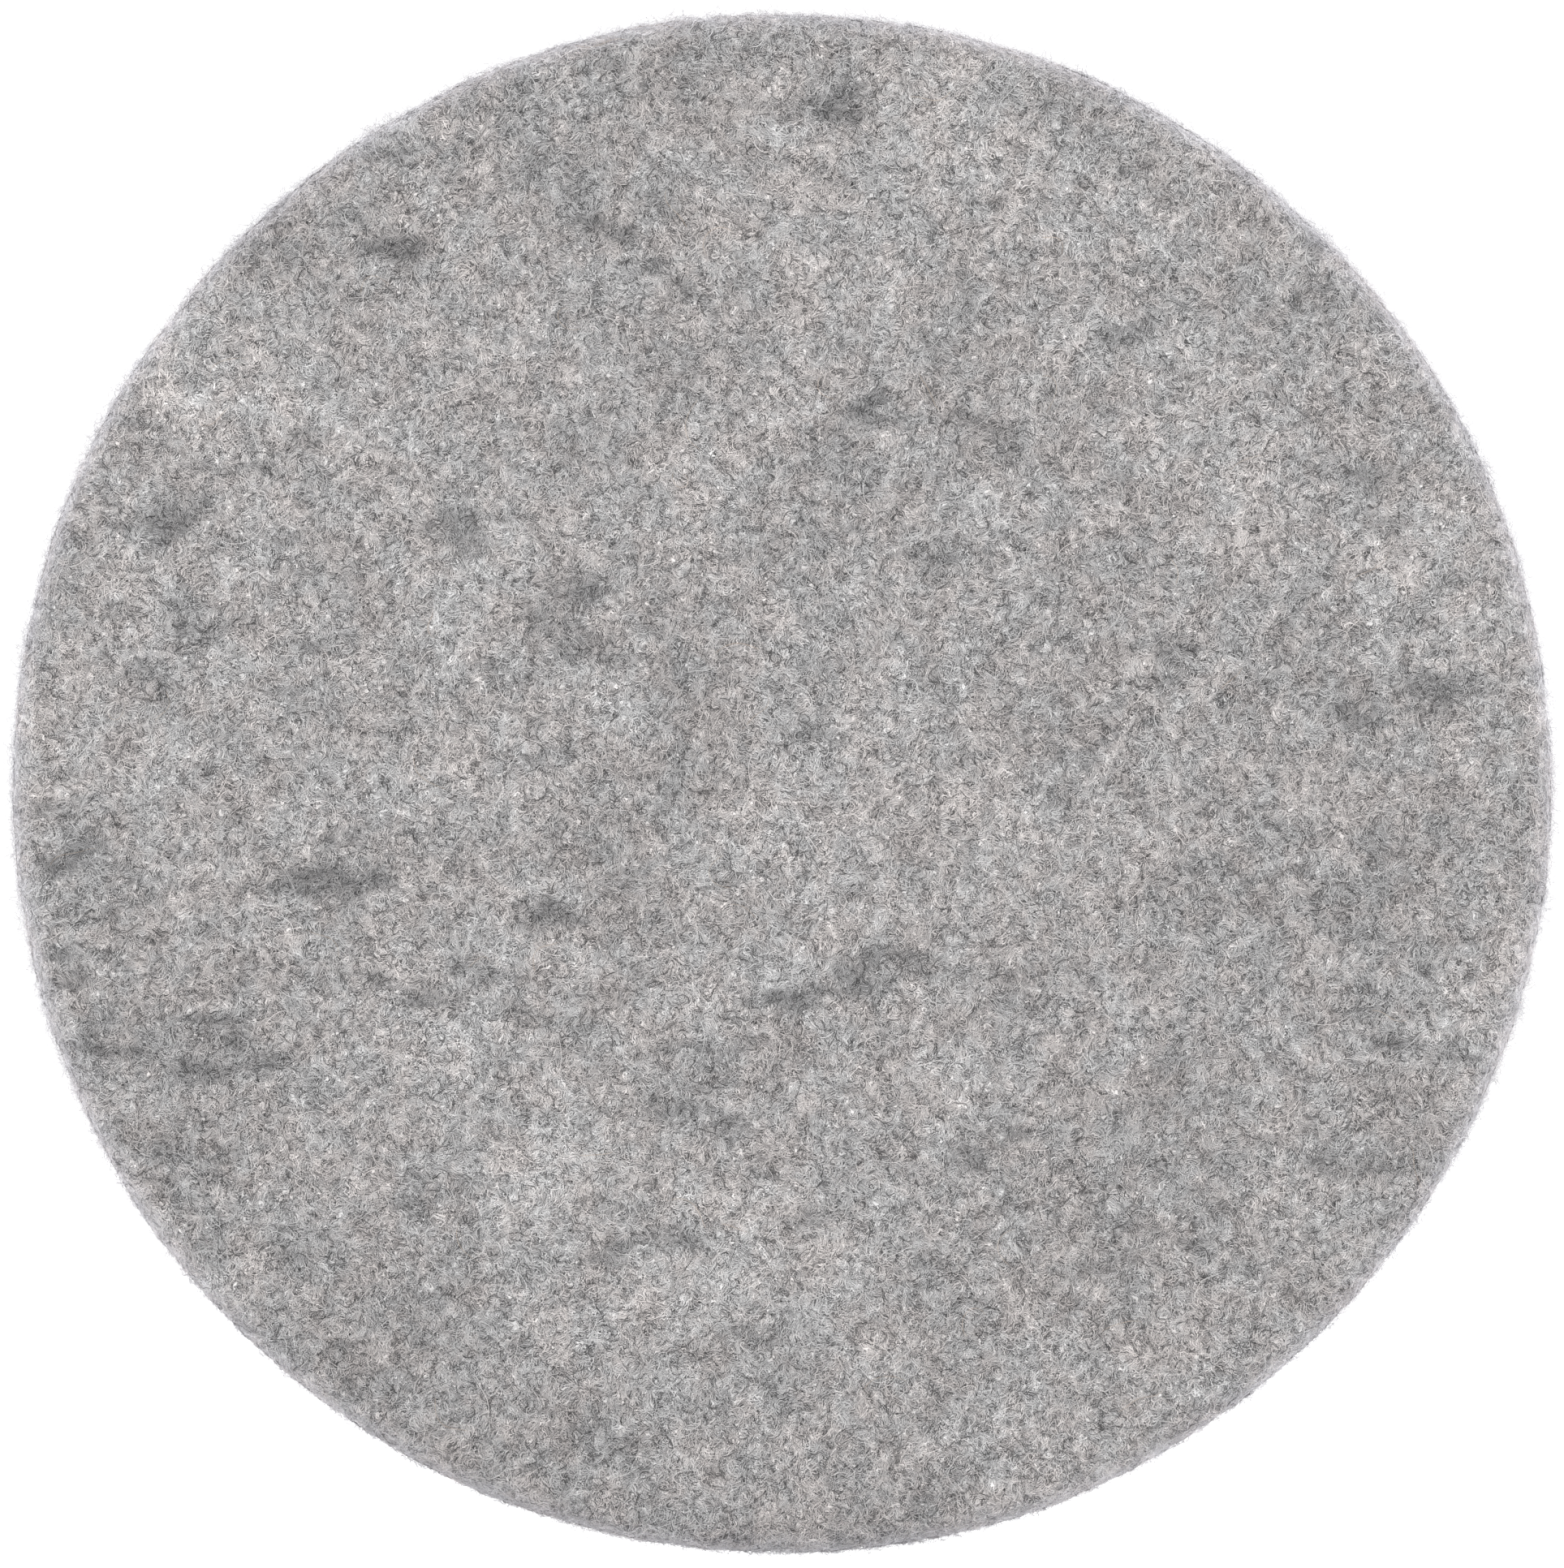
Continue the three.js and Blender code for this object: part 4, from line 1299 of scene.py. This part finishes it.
for body, turn in (("set_screw_top", to_top), ("set_screw_side", to_side)):
    seated = turn @ Matrix.Translation((0, set_tip, 0))
    new_piece(body + "_shown", set_mesh, black_mat, body, [body], seated)
print("set screw faces:", len(set_mesh.polygons))

# %% [markdown]
# ## Light and floor
#
# The wheel is shown as a catalogue would show it, with a pale floor, a white surround and large soft lamps.
# The floor is a plain disc, wide enough to have no edge in view. Polished metal mirrors it darker than the
# camera sees it, or the hub and plate would turn white.

# %% Floor
floor_mesh = bpy.data.meshes.new("floor")
build = bmesh.new()
bmesh.ops.create_circle(build, cap_ends=True, segments=64, radius=8.0)
build.to_mesh(floor_mesh)
build.free()
floor = bpy.data.objects.new("floor", floor_mesh)
FLOOR_GAP = 10 * MM  # the wheel hangs on its arbor, just clear of the floor
floor.location = (0, 0, cad_low.z - FLOOR_GAP)
scene.collection.objects.link(floor)
floor_mat, tree, shader = new_material("pale_floor")
in_metal = add(tree, "LightPath").outputs["Is Glossy Ray"]
tree.links.new(mix(tree, in_metal, (0.92, 0.92, 0.92, 1), (0.34, 0.34, 0.34, 1)), shader.inputs["Base Color"])
shader.inputs["Roughness"].default_value = 0.9
tree.links.new(mix(tree, in_metal, (1, 1, 1, 1), (0, 0, 0, 1)), shader.inputs["Emission Color"])
shader.inputs["Emission Strength"].default_value = 0.15
floor_mesh.materials.append(floor_mat)
print("floor at, mm:", round(floor.location.z / MM, 1))

# %% [markdown]
# ## The lamps
#
# One big lamp up to the left models the nap. Three more, beside and above the wheel, brighten the rim.
# These three are hidden from mirror-like rays, or they would show as hard white bars in the metal. A
# small lamp behind lights the hub.


# %% Lamps
def softbox(name, place_at, aim, size, power, mirrored=True):
    """A soft rectangular lamp that looks at a point, seen in polished metal or not."""
    data = bpy.data.lights.new(name, "AREA")
    data.shape = "RECTANGLE"
    data.size, data.size_y = size
    data.energy = power
    lamp = bpy.data.objects.new(name, data)
    lamp.location = place_at
    lamp.rotation_mode = "QUATERNION"
    lamp.rotation_quaternion = (Vector(aim) - Vector(place_at)).to_track_quat("-Z", "Y")
    lamp.visible_glossy = mirrored
    scene.collection.objects.link(lamp)


wheel_centre = (cad_low + cad_high) / 2
softbox("key", (-0.7, -1.1, 1.2), wheel_centre, (1.0, 1.0), 8)
softbox("rim_left", (-1.2, 0.3, 0.4), wheel_centre, (0.5, 1.2), 9, mirrored=False)
softbox("rim_right", (1.2, 0.3, 0.4), wheel_centre, (0.5, 1.2), 12, mirrored=False)
softbox("rim_top", (0.0, 0.3, 1.3), wheel_centre, (1.2, 0.5), 9.5, mirrored=False)
softbox("back", (0.9, 1.3, 1.0), wheel_centre, (0.7, 0.7), 4)
print("lamps:", len(bpy.data.lights))

# %% [markdown]
# ## The surround
#
# The camera sees plain white, the felt gets even light, and polished metal mirrors a grey that brightens
# upwards, as it would in a room. One world shader does all three by asking what kind of ray is looking.

# %% Surround
BACKDROP_STRENGTH = 1.1
SOFT_LIGHT_STRENGTH = 1.0
REFLECTED_LOW, REFLECTED_HIGH = 0.38, 0.90  # what polished metal mirrors at the horizon and overhead
world = bpy.data.worlds.new("surround")
scene.world = world
world.use_nodes = True
tree = world.node_tree
path = add(tree, "LightPath").outputs
upward = add(tree, "SeparateXYZ", {0: add(tree, "TexCoord").outputs["Generated"]}).outputs[2]
mirrored = ramp(tree, upward, 0.0, 0.9, REFLECTED_LOW, REFLECTED_HIGH)
not_mirrored = sum_of(tree, "SUBTRACT", 1.0, path["Is Glossy Ray"])
soft = sum_of(tree, "MULTIPLY", not_mirrored, SOFT_LIGHT_STRENGTH)
soft = sum_of(tree, "MULTIPLY_ADD", path["Is Glossy Ray"], mirrored, soft)
strength = sum_of(tree, "MULTIPLY_ADD", path["Is Camera Ray"], BACKDROP_STRENGTH - SOFT_LIGHT_STRENGTH, soft)
background = tree.nodes["Background"]
background.inputs["Color"].default_value = (1, 1, 1, 1)
tree.links.new(strength, background.inputs["Strength"])
print("surround, nodes:", len(tree.nodes))
